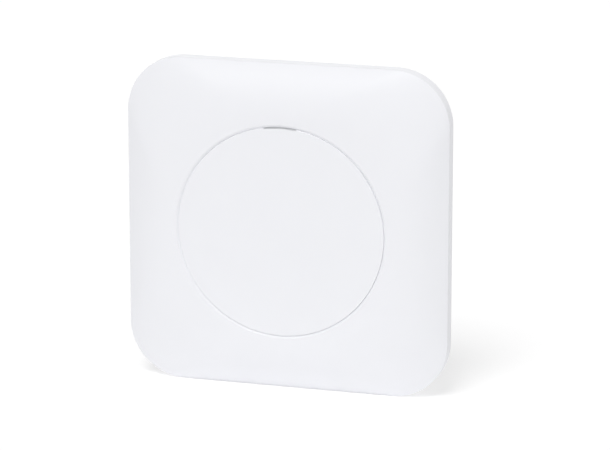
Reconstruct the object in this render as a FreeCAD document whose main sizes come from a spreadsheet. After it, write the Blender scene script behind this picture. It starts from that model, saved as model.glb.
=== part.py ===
import FreeCAD, Part
import Sketcher
import os
import re

# A ceiling access point. Every piece is drawn lying down: x to the right, y towards the top edge,
# z from the ceiling face towards the room. UPRIGHT then stands it on its lower edge.

SIZES = {
    # front cover
    "cover_width": 200.0,
    "cover_corner": 34.0,
    "cover_wall": 2.2,
    "cover_rim": 9.0,
    "crown_rise": 14.0,
    "crown_land": 4.0,
    "crown_square": 6.0,
    "crease_round": 1.0,
    "rim_round": 0.5,
    # round centre cover and the ring groove about it
    "ring_radius": 64.0,
    "groove_width": 1.5,
    "groove_depth": 0.8,
    "disc_rise": 1.2,
    "disc_fit": 0.05,
    "disc_hollow": 0.8,
    "seat_width": 6.0,
    "seat_wall": 2.0,
    "hook_width": 8.0,
    "hook_wall": 1.8,
    "hook_reach": 1.4,
    "hook_fit": 0.3,
    # light guide in the groove
    "slit_angle": 18.0,
    "slit_width": 0.5,
    "slit_sink": 0.3,
    "guide_fit": 0.1,
    "guide_collar": 1.6,
    "guide_foot": 8.0,
    "guide_air": 0.6,
    # rear shell
    "rear_depth": 11.0,
    "rear_gap": 1.0,
    "rear_inset": 16.0,
    "rear_corner": 24.0,
    "rear_flare": 8.0,
    "rear_wall": 2.0,
    "tray_round": 2.0,
    "flange_set": 0.5,
    "flange_fit": 0.25,
    "flange_wall": 2.0,
    # ceiling bracket, its seat in the rear shell and the studs that hold it
    "bracket_wall": 2.2,
    "bracket_stand": 2.6,
    "bracket_rim": 2.5,
    "bracket_band": 27.2,
    "bracket_side_fit": 0.8,
    "bracket_face_fit": 0.3,
    "ceiling_screw_inset": 14.2,
    "ceiling_screw_hole": 2.25,
    "ceiling_screw_pad": 6.2,
    "ceiling_screw_head": 4.6,
    "ceiling_screw_land": 2.2,
    "stud_inset": 11.2,
    "stud_neck": 2.4,
    "stud_head": 4.5,
    "stud_head_wall": 1.5,
    "stud_head_fit": 0.2,
    "stud_foot": 3.6,
    "stud_foot_wall": 1.0,
    "stud_press": 0.03,
    "keyhole_fit": 0.3,
    "keyhole_entry_fit": 0.7,
    "twist_angle": 18.0,
    # port bay at the lower edge
    "bay_half": 32.0,
    "bay_inset": 16.0,
    "bay_end_inset": 10.0,
    "bay_roof": 17.5,
    "bay_wall": 2.0,
    "port_fit": 0.3,
    "port_proud": 0.3,
    # main board
    "board_column_gap": 6.0,
    "board_over_ring": 6.0,
    "board_corner": 3.0,
    "board_edge_gap": 0.5,
    "board_back": 17.0,
    "board_wall": 1.6,
    "post_radius": 3.6,
    "post_side_inset": 8.0,
    "post_top_inset": 10.0,
    "post_low_inset": 15.5,
    # screws
    "screw_radius": 1.4,
    "screw_thread_fit": 0.05,
    "screw_free_fit": 0.3,
    "screw_head": 2.8,
    "screw_head_wall": 1.8,
    "board_screw_length": 9.0,
    "case_screw_inset": 14.0,
    "case_screw_length": 17.0,
    "case_screw_sink": 1.2,
    "case_column": 4.6,
    "drive_radius": 1.1,
    "drive_depth": 0.9,
    # processor, its pad and the heat sink
    "chip_half": 10.0,
    "chip_wall": 1.4,
    "chip_y": 5.0,
    "pad_half": 9.0,
    "pad_wall": 1.0,
    "sink_shield_gap": 6.0,
    "sink_wall": 2.0,
    "sink_fin_wall": 1.6,
    "sink_fin_rise": 5.0,
    "sink_fin_pitch": 7.0,
    "sink_pin_inset": 4.0,
    "sink_pin_radius": 1.5,
    "sink_pin_head": 2.8,
    "sink_pin_tail": 2.0,
    # chips and radio shields
    "memory_gap": 2.5,
    "memory_half_x": 4.5,
    "memory_half_y": 6.5,
    "memory_wall": 1.1,
    "shield_inset": 18.0,
    "shield_y": 0.0,
    "shield_half_x": 10.0,
    "shield_half_y": 18.0,
    "shield_rise": 3.0,
    "shield_sheet": 0.3,
    "radio_half": 5.0,
    "radio_wall": 1.0,
    # status lights
    "led_x": 2.5,
    "led_half_x": 1.5,
    "led_half_y": 0.8,
    "led_wall": 0.8,
    # antennas
    "low_band_inset": 4.0,
    "low_band_top_inset": 34.0,
    "low_band_half": 14.0,
    "low_band_rise": 6.2,
    "high_band_side_inset": 30.0,
    "high_band_inset": 6.0,
    "high_band_half": 10.0,
    "high_band_rise": 4.8,
    "antenna_half": 3.0,
    "antenna_sheet": 0.4,
    # Ethernet jack
    "jack_x": -14.0,
    "jack_half": 8.0,
    "jack_length": 16.0,
    "jack_end_gap": 0.3,
    "jack_tall": 13.4,
    "jack_sheet": 0.25,
    "plug_half": 5.95,
    "plug_tall": 6.9,
    "plug_deep": 13.0,
    "plug_inset": 1.8,
    "latch_half": 3.2,
    "latch_tall": 2.5,
    "latch_deep": 11.0,
    "contact_pitch": 1.02,
    "contact_half": 0.17,
    "contact_length": 9.0,
    "contact_drop": 10.0,
    # power inlet
    "inlet_x": 9.0,
    "inlet_half": 4.5,
    "inlet_length": 14.0,
    "inlet_tall": 11.0,
    "inlet_axis": 6.4,
    "inlet_hole": 3.2,
    "inlet_deep": 10.0,
    "inlet_pin": 1.05,
    "inlet_pin_set": 1.0,
    # power parts on the ceiling side of the board
    "lan_block_gap": 6.3,
    "lan_block_half_x": 7.5,
    "lan_block_half_y": 6.0,
    "lan_block_tall": 6.5,
    "poe_block_x": 14.0,
    "poe_block_gap": 4.8,
    "poe_block_half_x": 8.5,
    "poe_block_half_y": 7.5,
    "poe_block_tall": 8.2,
    "can_x": 32.0,
    "can_gap": 10.3,
    "can_pitch": 10.0,
    "can_radius": 4.0,
    "can_tall": 7.8,
    "coil_x": 37.0,
    "coil_gap": 6.0,
    "coil_half_x": 4.0,
    "coil_half_y": 4.0,
    "coil_tall": 4.2,
    # reset switch and its button
    "reset_x": 22.0,
    "reset_axis": 5.0,
    "reset_radius": 1.95,
    "reset_running_fit": 0.08,
    "reset_proud": 0.8,
    "reset_travel": 0.6,
    "reset_collar": 3.0,
    "reset_collar_wall": 1.0,
    "reset_stem": 1.2,
    "reset_stem_length": 1.4,
    "plunger_radius": 1.5,
    "plunger_length": 2.4,
    "plunger_out": 1.0,
    "switch_half": 3.0,
    "switch_length": 3.6,
    # vents, lock slot and label on the back
    "vent_count": 13,
    "vent_pitch": 6.0,
    "vent_slot": 2.4,
    "vent_inset": 8.0,
    "vent_length": 19.0,
    "lock_slot_y": 40.0,
    "lock_slot_half": 3.5,
    "lock_slot_tall": 3.0,
    "lock_slot_back": 5.0,
    "label_half": 26.0,
    "label_inset": 7.0,
    "label_tall": 20.0,
    "label_wall": 0.15,
}

doc = FreeCAD.newDocument("ceiling_access_point")
sheet = doc.addObject("Spreadsheet::Sheet", "Sizes")
for row, (alias, value) in enumerate(SIZES.items(), start=1):
    sheet.set(f"A{row}", alias)
    sheet.set(f"B{row}", str(value))
    sheet.setAlias(f"B{row}", alias)
doc.recompute()

UPRIGHT = FreeCAD.Placement(FreeCAD.Vector(0, 0, 0), FreeCAD.Rotation(FreeCAD.Vector(1, 0, 0), 90))
DEPTH_AXIS = FreeCAD.Vector(0, 0, 1)
SIDES = (-1, 1)
SAME_PLACE = 0.01
finished = []


def formula(text):
    """Prefix every size named in text with the sheet's name, as expressions need."""
    return re.sub(r"[a-z][a-z_]+", lambda word: f"Sizes.{word[0]}" if word[0] in SIZES else word[0], text)


def bind(thing, property_name, text):
    thing.setExpression(property_name, formula(text))


def place(thing, x="0", y="0", z="0"):
    for axis, text in (("x", x), ("y", y), ("z", z)):
        bind(thing, f"Placement.Base.{axis}", text)


def box(name, x, y, z):
    """A block between the (low, high) pairs x, y and z."""
    block = doc.addObject("Part::Box", name)
    for property_name, (low, high) in (("Length", x), ("Width", y), ("Height", z)):
        bind(block, property_name, f"({high}) - ({low})")
    place(block, x[0], y[0], z[0])
    return block


def disc(name, radius, z, x="0", y="0"):
    """A cylinder along the depth, between the (low, high) pair z."""
    solid = doc.addObject("Part::Cylinder", name)
    bind(solid, "Radius", radius)
    bind(solid, "Height", f"({z[1]}) - ({z[0]})")
    place(solid, x, y, z[0])
    return solid


def rod(name, radius, y, x, z):
    """A cylinder along the height, between the (low, high) pair y."""
    solid = doc.addObject("Part::Cylinder", name)
    solid.Placement.Rotation = FreeCAD.Rotation(FreeCAD.Vector(1, 0, 0), -90)
    bind(solid, "Radius", radius)
    bind(solid, "Height", f"({y[1]}) - ({y[0]})")
    place(solid, x, y[0], z)
    return solid


def sector(name, inner, outer, z, start, sweep):
    """A ring piece about the centre from the angle start through the angle sweep."""
    pieces = []
    for part, radius in (("outer", outer), ("inner", inner)):
        solid = disc(f"{name}_{part}", radius, z)
        solid.Placement.Rotation = FreeCAD.Rotation(DEPTH_AXIS, 1)
        bind(solid, "Placement.Rotation.Angle", start)
        bind(solid, "Angle", sweep)
        pieces.append(solid)
    return cut(name, pieces[0], pieces[1])


def fuse(name, *shapes):
    whole = doc.addObject("Part::MultiFuse", name)
    whole.Shapes = list(shapes)
    return whole


def cut(name, base, *tools):
    whole = doc.addObject("Part::Cut", name)
    whole.Base = base
    whole.Tool = tools[0] if len(tools) == 1 else fuse(f"{name}_cutters", *tools)
    return whole


def common(name, *shapes):
    whole = doc.addObject("Part::MultiCommon", name)
    whole.Shapes = list(shapes)
    return whole


def finish(name, *solids):
    """Gather a sub-part's solids under its name, stand them up and list them for writing."""
    whole = doc.addObject("Part::Compound", name)
    whole.Links = list(solids)
    whole.Label = name
    whole.Placement = UPRIGHT
    finished.append(whole)


def rounded_outline(sketch, half_x, half_y, corner):
    """Draw a rectangle with round corners about the sketch's origin, all sizes bound to the sheet."""
    reach, radius = 30.0, 5.0
    inner = reach - radius
    turn = 3.141592653589793 / 2
    corners = ((inner, -inner, -1), (inner, inner, 0), (-inner, inner, 1), (-inner, -inner, 2))
    edges = (
        ((-inner, -reach), (inner, -reach)),
        ((reach, -inner), (reach, inner)),
        ((inner, reach), (-inner, reach)),
        ((-reach, inner), (-reach, -inner)),
    )
    for (start, end), (x, y, quarter) in zip(edges, corners):
        sketch.addGeometry(Part.LineSegment(FreeCAD.Vector(*start, 0), FreeCAD.Vector(*end, 0)), False)
        arc = Part.Circle(FreeCAD.Vector(x, y, 0), DEPTH_AXIS, radius)
        sketch.addGeometry(Part.ArcOfCircle(arc, quarter * turn, (quarter + 1) * turn), False)
    for line in (0, 2, 4, 6):
        arc, following = line + 1, (line + 2) % 8
        sketch.addConstraint(Sketcher.Constraint("Tangent", line, 2, arc, 1))
        sketch.addConstraint(Sketcher.Constraint("Tangent", arc, 2, following, 1))
    for line, direction in ((0, "Horizontal"), (2, "Vertical"), (4, "Horizontal"), (6, "Vertical")):
        sketch.addConstraint(Sketcher.Constraint(direction, line))
    for arc in (1, 3, 5):
        sketch.addConstraint(Sketcher.Constraint("Equal", arc, arc + 2))
    sketch.addConstraint(Sketcher.Constraint("Symmetric", 1, 3, 5, 3, -1, 1))
    for name, kind, target, text, start in (
        ("half_x", "DistanceX", (-1, 1, 2, 1), half_x, reach),
        ("half_y", "DistanceY", (-1, 1, 4, 1), half_y, reach),
        ("corner", "Radius", (1,), corner, radius),
    ):
        index = sketch.addConstraint(Sketcher.Constraint(kind, *target, start))
        sketch.renameConstraint(index, name)
        bind(sketch, f"Constraints.{name}", text)


def outline(name, half_x, half_y, corner, z):
    sketch = doc.addObject("Sketcher::SketchObject", name)
    rounded_outline(sketch, half_x, half_y, corner)
    bind(sketch, "Placement.Base.z", z)
    return sketch


def prism(name, half, corner, z):
    """A straight block with the cover's kind of outline, between the (low, high) pair z."""
    solid = doc.addObject("Part::Extrusion", name)
    solid.Base = outline(f"{name}_outline", half, half, corner, z[0])
    solid.DirMode = "Custom"
    solid.Dir = DEPTH_AXIS
    solid.Solid = True
    bind(solid, "LengthFwd", f"({z[1]}) - ({z[0]})")
    return solid


def loft(name, sections, ruled=False):
    """A solid skinned over (half width, corner radius, z) sections."""
    solid = doc.addObject("Part::Loft", name)
    solid.Sections = [
        outline(f"{name}_section_{number}", half, half, corner, z)
        for number, (half, corner, z) in enumerate(sections, start=1)
    ]
    solid.Solid = True
    solid.Ruled = ruled
    return solid


def new_body(name):
    return doc.addObject("PartDesign::Body", name)


def body_sketch(body, name, role="XY_Plane", lift="0"):
    """A sketch on one of the body's own origin planes, lifted off it by a bound distance."""
    sketch = body.newObject("Sketcher::SketchObject", name)
    plane = [feature for feature in body.Origin.OriginFeatures if feature.Role == role][0]
    sketch.AttachmentSupport = [(plane, "")]
    sketch.MapMode = "FlatFace"
    bind(sketch, "AttachmentOffset.Base.z", lift)
    return sketch


def bound_circle(sketch, name, radius, x="0", y="0"):
    circle = sketch.addGeometry(Part.Circle(FreeCAD.Vector(1, 1, 0), DEPTH_AXIS, 1), False)
    targets = [(f"{name}_radius", "Radius", (circle,), radius)]
    if (x, y) == ("0", "0"):
        sketch.addConstraint(Sketcher.Constraint("Coincident", circle, 3, -1, 1))
    else:
        targets.append((f"{name}_x", "DistanceX", (-1, 1, circle, 3), x))
        targets.append((f"{name}_y", "DistanceY", (-1, 1, circle, 3), y))
    for label, kind, target, text in targets:
        index = sketch.addConstraint(Sketcher.Constraint(kind, *target, 1.0))
        sketch.renameConstraint(index, label)
        bind(sketch, f"Constraints.{label}", text)


def bound_profile(sketch, points):
    """A closed line through (across, along) points, each bound to the sheet."""
    guesses = [(1.0 + number, 1.0 + number * number) for number in range(len(points))]
    ends = guesses[1:] + guesses[:1]
    for start, end in zip(guesses, ends):
        sketch.addGeometry(Part.LineSegment(FreeCAD.Vector(*start, 0), FreeCAD.Vector(*end, 0)), False)
    for number, (across, along) in enumerate(points):
        previous = (number - 1) % len(points)
        sketch.addConstraint(Sketcher.Constraint("Coincident", previous, 2, number, 1))
        for kind, text, axis in (("DistanceX", across, -2), ("DistanceY", along, -1)):
            if text == "0":
                sketch.addConstraint(Sketcher.Constraint("PointOnObject", number, 1, axis))
                continue
            label = f"{kind}_{number}"
            index = sketch.addConstraint(Sketcher.Constraint(kind, -1, 1, number, 1, 1.0))
            sketch.renameConstraint(index, label)
            bind(sketch, f"Constraints.{label}", text)


def pad(body, sketch, height):
    feature = body.newObject("PartDesign::Pad", f"{sketch.Name}_pad")
    feature.Profile = sketch
    bind(feature, "Length", height)
    return feature


def pocket(body, sketch, depth, towards_room=False):
    feature = body.newObject("PartDesign::Pocket", f"{sketch.Name}_pocket")
    feature.Profile = sketch
    feature.Reversed = towards_room
    bind(feature, "Length", depth)
    return feature


def turned(name, points, x="0", y="0", z="0"):
    """A body turned about the depth axis from (radius, z) points, then set at x, y, z."""
    body = new_body(name)
    sketch = body_sketch(body, f"{name}_profile", "XZ_Plane")
    bound_profile(sketch, points)
    turning = body.newObject("PartDesign::Revolution", f"{name}_turning")
    turning.Profile = sketch
    turning.ReferenceAxis = (sketch, ["V_Axis"])
    turning.Angle = 360
    place(body, x, y, z)
    return body


# Places worked out from the sizes, as texts for expressions.
HALF = "cover_width / 2"
CREASE = "(rear_depth + cover_rim)"
RING_PLANE = f"({CREASE} + crown_rise)"
COVER_UNDER = f"({RING_PLANE} - cover_wall)"
SEAT_UNDER = f"({COVER_UNDER} - seat_wall)"
DISC_RADIUS = "(ring_radius - disc_fit)"
SEAT_RADIUS = "(ring_radius - seat_width)"
GROOVE_FLOOR = f"({RING_PLANE} - groove_depth)"
DISC_TOP = f"({RING_PLANE} + disc_rise)"
REAR_HALF = f"({HALF} - rear_inset)"
FLANGE_BACK = "(rear_depth + flange_set)"
FLANGE_FRONT = f"({FLANGE_BACK} + flange_wall)"
FLANGE_HALF = f"({HALF} - cover_wall - flange_fit)"
FLANGE_CORNER = "(cover_corner - cover_wall - flange_fit)"
BAY_FACE = f"(bay_inset - {REAR_HALF})"
BAY_END = f"(bay_end_inset - {HALF})"
BAY_WALL_INSIDE = f"({BAY_FACE} + bay_wall)"
BAY_ROOF_FRONT = "(bay_roof + bay_wall)"
PORT_FRONT = f"({BAY_FACE} - port_proud)"
JACK_END = f"({PORT_FRONT} + jack_length)"
BRACKET_SEAT = f"(0 - {JACK_END} - jack_end_gap - rear_wall)"
BRACKET_RADIUS = f"({BRACKET_SEAT} - bracket_side_fit)"
BRACKET_HOLE = f"({BRACKET_RADIUS} - bracket_band)"
BRACKET_FRONT = "(bracket_stand + bracket_wall)"
SEAT_FLOOR = f"({BRACKET_FRONT} + bracket_face_fit)"
SEAT_FLOOR_INSIDE = f"({SEAT_FLOOR} + rear_wall)"
CASE_SCREW_PLACE = f"({REAR_HALF} - case_screw_inset)"
CASE_HEAD_UNDER = "(rear_gap + case_screw_sink + screw_head_wall)"
BOARD_FRONT = "(board_back + board_wall)"
BOARD_HALF = f"({CASE_SCREW_PLACE} - board_column_gap)"
BOARD_TOP = "(ring_radius + board_over_ring)"
BOARD_LOW = f"({BAY_WALL_INSIDE} + board_edge_gap)"
SHIELD_X = f"({BOARD_HALF} - shield_inset)"
SINK_HALF = f"({SHIELD_X} - shield_half_x - sink_shield_gap)"
MEMORY_X = "(chip_half + memory_gap + memory_half_x)"
CAN_Y = f"({JACK_END} + can_gap + can_radius)"
CHIP_FRONT = f"({BOARD_FRONT} + chip_wall)"
GUIDE_OUTSIDE = f"({DISC_RADIUS} - guide_fit)"
GUIDE_INSIDE = f"({GUIDE_OUTSIDE} - slit_width)"
GUIDE_MIDDLE = f"({GUIDE_OUTSIDE} - slit_width / 2)"
SLIT_INSIDE = f"({GUIDE_INSIDE} - guide_fit)"


def signed(sign, text):
    return f"({sign} * ({text}))"


def crown(name, inset, drop):
    """The crowned form over the rim: near round at the ring, the cover's own outline at the crease."""
    flat_half = "(ring_radius + crown_land)"
    flat_corner = f"({flat_half} - crown_square)"
    sections = []
    for step in (0.0, 0.25, 0.5, 0.75, 1.0):
        half = f"{HALF} - ({HALF} - {flat_half}) * {step} - {inset}"
        corner = f"cover_corner + ({flat_corner} - cover_corner) * {step} - {inset}"
        height = f"{CREASE} + crown_rise * {1 - (1 - step) ** 2} - {drop}"
        sections.append((half, corner, height))
    return loft(name, sections)


def case_corners():
    places = [signed(side, CASE_SCREW_PLACE) for side in SIDES]
    return [(x, y) for x in places for y in places]


def board_corners():
    across = f"{BOARD_HALF} - post_side_inset"
    heights = (f"({BOARD_LOW} + post_low_inset)", f"({BOARD_TOP} - post_top_inset)")
    return [(signed(right, across), height) for right in SIDES for height in heights]


def sink_pin_places():
    """Two opposite corners of the heat sink, which is centred over the processor."""
    offsets = [signed(side, f"{SINK_HALF} - sink_pin_inset") for side in SIDES]
    return [(offset, f"chip_y + {offset}") for offset in offsets]


STUD_CIRCLE = f"({BRACKET_RADIUS} - stud_inset)"


def stud_places(turn="0"):
    """Four places at the quarter marks between the axes, turned on by a bound angle."""
    angles = [f"({45 + 90 * quarter} + {turn})" for quarter in range(4)]
    return [(f"{STUD_CIRCLE} * cos({angle})", f"{STUD_CIRCLE} * sin({angle})") for angle in angles]


def size(alias):
    return float(sheet.get(alias))


def round_level_edges(name, form, level, rounding):
    """Round the edges of a form that lie all round it at one depth."""
    doc.recompute()
    rounded = doc.addObject("Part::Fillet", name)
    rounded.Base = form
    edges = []
    for number, edge in enumerate(form.Shape.Edges, start=1):
        bounds = edge.BoundBox
        if abs(bounds.ZMin - level) < SAME_PLACE and abs(bounds.ZMax - level) < SAME_PLACE:
            edges.append((number, rounding, rounding))
    rounded.Edges = edges
    return rounded


def make_front_cover():
    rim = prism("cover_rim_form", HALF, "cover_corner", ("rear_depth", CREASE))
    form = fuse("cover_form", rim, crown("cover_crown", "0", "0"))
    crease_depth = size("rear_depth") + size("cover_rim")
    creased = round_level_edges("cover_crease", form, crease_depth, size("crease_round"))
    outside = round_level_edges("cover_back_edge", creased, size("rear_depth"), size("rim_round"))
    hollow_rim = prism(
        "cover_hollow_rim",
        f"{HALF} - cover_wall",
        "cover_corner - cover_wall",
        ("rear_depth - cover_wall", f"{CREASE} - cover_wall"),
    )
    hollow = fuse("cover_hollow_form", hollow_rim, crown("cover_hollow_crown", "cover_wall", "cover_wall"))
    columns = [
        disc(f"cover_column_{number}", "case_column", (FLANGE_FRONT, RING_PLANE), x, y)
        for number, (x, y) in enumerate(case_corners(), start=1)
    ]
    shell = cut("cover_shell", outside, cut("cover_hollow", hollow, *columns))
    seat = disc("cover_seat", "ring_radius + cover_wall", (SEAT_UNDER, GROOVE_FLOOR))
    groove = doc.addObject("Part::Cone", "cover_groove")
    bind(groove, "Radius1", "ring_radius")
    bind(groove, "Radius2", "ring_radius + 2 * groove_width")
    bind(groove, "Height", "2 * groove_depth")
    place(groove, z=GROOVE_FLOOR)
    tools = [
        groove,
        disc("cover_hole", "ring_radius", (COVER_UNDER, f"{DISC_TOP} + cover_wall")),
        disc("cover_seat_hole", SEAT_RADIUS, (f"{SEAT_UNDER} - cover_wall", RING_PLANE)),
        sector(
            "cover_guide_slot",
            SLIT_INSIDE,
            DISC_RADIUS,
            (f"{SEAT_UNDER} - cover_wall", RING_PLANE),
            "90 - slit_angle / 2 - guide_fit",
            "slit_angle + 2 * guide_fit",
        ),
    ]
    for number, (x, y) in enumerate(case_corners(), start=1):
        bottom = f"{CASE_HEAD_UNDER} + case_screw_length + screw_thread_fit"
        reach = (f"{FLANGE_FRONT} - cover_wall", bottom)
        tools.append(disc(f"cover_thread_{number}", "screw_radius + screw_thread_fit", reach, x, y))
    return cut("front_cover_solid", fuse("cover_with_seat", shell, seat), *tools)


def make_centre_cover():
    radius_of_dome = f"(({DISC_RADIUS} ^ 2 + disc_rise ^ 2) / (2 * disc_rise))"
    dome = doc.addObject("Part::Sphere", "disc_dome")
    bind(dome, "Radius", radius_of_dome)
    place(dome, "0", "0", f"{DISC_TOP} - {radius_of_dome}")
    blank = disc("disc_round", DISC_RADIUS, (COVER_UNDER, f"{DISC_TOP} + disc_rise"))
    face = common("disc_face", blank, dome)
    hollow_depth = (f"{COVER_UNDER} - disc_hollow", f"{COVER_UNDER} + disc_hollow")
    hollow = disc("disc_hollow_form", SEAT_RADIUS, hollow_depth)
    slot = sector(
        "disc_guide_slot",
        SLIT_INSIDE,
        "ring_radius + groove_width",
        (f"{COVER_UNDER} - disc_hollow", f"{DISC_TOP} + disc_rise"),
        "90 - slit_angle / 2 - guide_fit",
        "slit_angle + 2 * guide_fit",
    )
    plate = cut("disc_plate", face, hollow, slot)
    hooks = []
    leg_outside = f"({SEAT_RADIUS} - hook_fit)"
    hook_low = f"({SEAT_UNDER} - hook_fit - hook_wall)"
    for number in range(6):
        angle = 60 * number
        leg = box(
            f"disc_leg_{number}",
            (f"{leg_outside} - hook_wall", leg_outside),
            ("0 - hook_width / 2", "hook_width / 2"),
            (hook_low, f"{COVER_UNDER} + disc_hollow + hook_wall / 2"),
        )
        barb = box(
            f"disc_barb_{number}",
            (f"{leg_outside} - hook_wall / 2", f"{leg_outside} + hook_reach"),
            ("0 - hook_width / 2", "hook_width / 2"),
            (hook_low, f"{SEAT_UNDER} - hook_fit"),
        )
        hook = fuse(f"disc_hook_{number}", leg, barb)
        hook.Placement.Rotation = FreeCAD.Rotation(DEPTH_AXIS, angle)
        hooks.append(hook)
    return fuse("centre_cover_solid", plate, *hooks)


def make_light_guide():
    start = "(90 - slit_angle / 2)"
    blade = sector(
        "guide_blade",
        GUIDE_INSIDE,
        GUIDE_OUTSIDE,
        (f"{SEAT_UNDER} - guide_collar", f"{RING_PLANE} - slit_sink"),
        start,
        "slit_angle",
    )
    collar = sector(
        "guide_collar_form",
        f"{GUIDE_INSIDE} - slit_width",
        f"{GUIDE_OUTSIDE} + slit_width",
        (f"{SEAT_UNDER} - guide_collar", SEAT_UNDER),
        f"{start} - 2 * slit_width",
        "slit_angle + 4 * slit_width",
    )
    foot = sector(
        "guide_foot_form",
        f"{GUIDE_INSIDE} - slit_width / 2",
        f"{GUIDE_OUTSIDE} + slit_width / 2",
        (f"{BOARD_FRONT} + led_wall + guide_air", f"{SEAT_UNDER} - guide_collar / 2"),
        "90 - guide_foot / 2",
        "guide_foot",
    )
    return fuse("light_guide_solid", blade, collar, foot)


def rear_forms():
    """The tapered tray and its hollow, each skinned straight between two outlines."""
    tray = loft(
        "tray_form",
        [
            (REAR_HALF, "rear_corner", "rear_gap"),
            (f"{REAR_HALF} + rear_flare", "rear_corner + rear_flare", FLANGE_BACK),
        ],
        ruled=True,
    )
    flared = "rear_flare - rear_wall"
    rounded = round_level_edges("tray_back_edge", tray, size("rear_gap"), size("tray_round"))
    hollow = loft(
        "tray_hollow_form",
        [
            (f"{REAR_HALF} - rear_wall", "rear_corner - rear_wall", "rear_gap + rear_wall"),
            (f"{REAR_HALF} + {flared}", f"rear_corner + {flared}", FLANGE_FRONT),
        ],
        ruled=True,
    )
    return rounded, hollow


def port_openings():
    """Cuts in the bay's wall for the jack, the power inlet and the reset button."""
    through = (f"{PORT_FRONT} - port_proud", f"{BAY_WALL_INSIDE} + port_proud")
    sockets = (
        ("jack", "jack_x", "jack_half", "jack_tall"),
        ("inlet", "inlet_x", "inlet_half", "inlet_tall"),
    )
    cuts = [
        box(
            f"bay_{name}_hole",
            (f"{x} - {half} - port_fit", f"{x} + {half} + port_fit"),
            through,
            (f"board_back - {tall} - port_fit", "board_back + port_fit"),
        )
        for name, x, half, tall in sockets
    ]
    cuts.append(rod("bay_reset_hole", "reset_radius + reset_running_fit", through, *RESET_AXIS))
    return cuts


def vent_slots():
    slots = []
    outer = f"({REAR_HALF} - vent_inset)"
    inner = f"({outer} - vent_length)"
    for side in SIDES:
        for number in range(round(size("vent_count"))):
            middle = f"vent_pitch * ({number} - (vent_count - 1) / 2)"
            ends = (inner, outer) if side > 0 else (f"0 - {outer}", f"0 - {inner}")
            slots.append(
                box(
                    f"vent_{'right' if side > 0 else 'left'}_{number}",
                    ends,
                    (f"{middle} - vent_slot / 2", f"{middle} + vent_slot / 2"),
                    ("rear_gap - rear_wall", "rear_gap + 2 * rear_wall"),
                )
            )
    return slots


def make_rear_shell():
    tray, hollow = rear_forms()
    flange = prism("rear_flange", FLANGE_HALF, FLANGE_CORNER, (FLANGE_BACK, FLANGE_FRONT))
    shell = cut("rear_tray", fuse("rear_blank", tray, flange), hollow)
    bay_sides = ("0 - bay_half - bay_wall", "bay_half + bay_wall")
    low_block = box("bay_low_block", bay_sides, (f"0 - {HALF}", BAY_WALL_INSIDE), ("rear_gap", FLANGE_BACK))
    high_reach = (f"{BAY_END} - bay_wall", BAY_WALL_INSIDE)
    high_block = box("bay_high_block", bay_sides, high_reach, (FLANGE_BACK, BAY_ROOF_FRONT))
    added = [shell, common("bay_low_walls", low_block, tray), high_block]
    added.append(disc("bracket_seat_form", f"{BRACKET_SEAT} + rear_wall", ("rear_gap", SEAT_FLOOR_INSIDE)))
    for number, (x, y) in enumerate(board_corners(), start=1):
        added.append(disc(f"board_post_{number}", "post_radius", ("rear_gap", "board_back"), x, y))
    for number, (x, y) in enumerate(case_corners(), start=1):
        added.append(disc(f"case_column_{number}", "case_column", ("rear_gap", FLANGE_FRONT), x, y))
    bay = ("0 - bay_half", "bay_half")
    bay_depth = (f"{FLANGE_BACK} - bay_wall", "bay_roof")
    tools = [
        box("bay_low_cut", bay, (f"0 - {HALF} - bay_wall", BAY_FACE), ("0 - bay_wall", FLANGE_BACK)),
        box("bay_high_cut", bay, (BAY_END, BAY_FACE), bay_depth),
        disc("bracket_seat_cut", BRACKET_SEAT, ("0 - rear_wall", SEAT_FLOOR)),
        box(
            "lock_slot_cut",
            (f"{REAR_HALF} - rear_wall", HALF),
            ("lock_slot_y - lock_slot_half", "lock_slot_y + lock_slot_half"),
            ("lock_slot_back", "lock_slot_back + lock_slot_tall"),
        ),
        *port_openings(),
        *vent_slots(),
    ]
    stud_bore = "stud_neck + stud_press"
    thread_bore = "screw_radius + screw_thread_fit"
    free_bore = "screw_radius + screw_free_fit"
    head_bore = "screw_head + screw_free_fit"
    thread_depth = (f"{BOARD_FRONT} - board_screw_length - screw_thread_fit", "board_back")
    for number, (x, y) in enumerate(stud_places(), start=1):
        tools.append(disc(f"stud_hole_{number}", stud_bore, (SEAT_FLOOR, SEAT_FLOOR_INSIDE), x, y))
    for number, (x, y) in enumerate(board_corners(), start=1):
        tools.append(disc(f"board_thread_{number}", thread_bore, thread_depth, x, y))
    for number, (x, y) in enumerate(case_corners(), start=1):
        tools.append(disc(f"case_hole_{number}", free_bore, ("rear_gap", FLANGE_FRONT), x, y))
        tools.append(disc(f"case_sink_{number}", head_bore, ("rear_gap - rear_wall", CASE_HEAD_UNDER), x, y))
    return cut("rear_shell_solid", fuse("rear_shell_blank", *added), *tools)


def make_studs():
    head_back = "(bracket_stand - stud_head_fit - stud_head_wall)"
    head_front = "(bracket_stand - stud_head_fit)"
    foot_front = f"({SEAT_FLOOR_INSIDE} + stud_foot_wall)"
    profile = [
        ("0", head_back),
        ("stud_head", head_back),
        ("stud_head", head_front),
        ("stud_neck", head_front),
        ("stud_neck", SEAT_FLOOR_INSIDE),
        ("stud_foot", SEAT_FLOOR_INSIDE),
        ("stud_foot", foot_front),
        ("0", foot_front),
    ]
    return [turned(f"stud_{number}", profile, x, y) for number, (x, y) in enumerate(stud_places(), start=1)]


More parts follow.
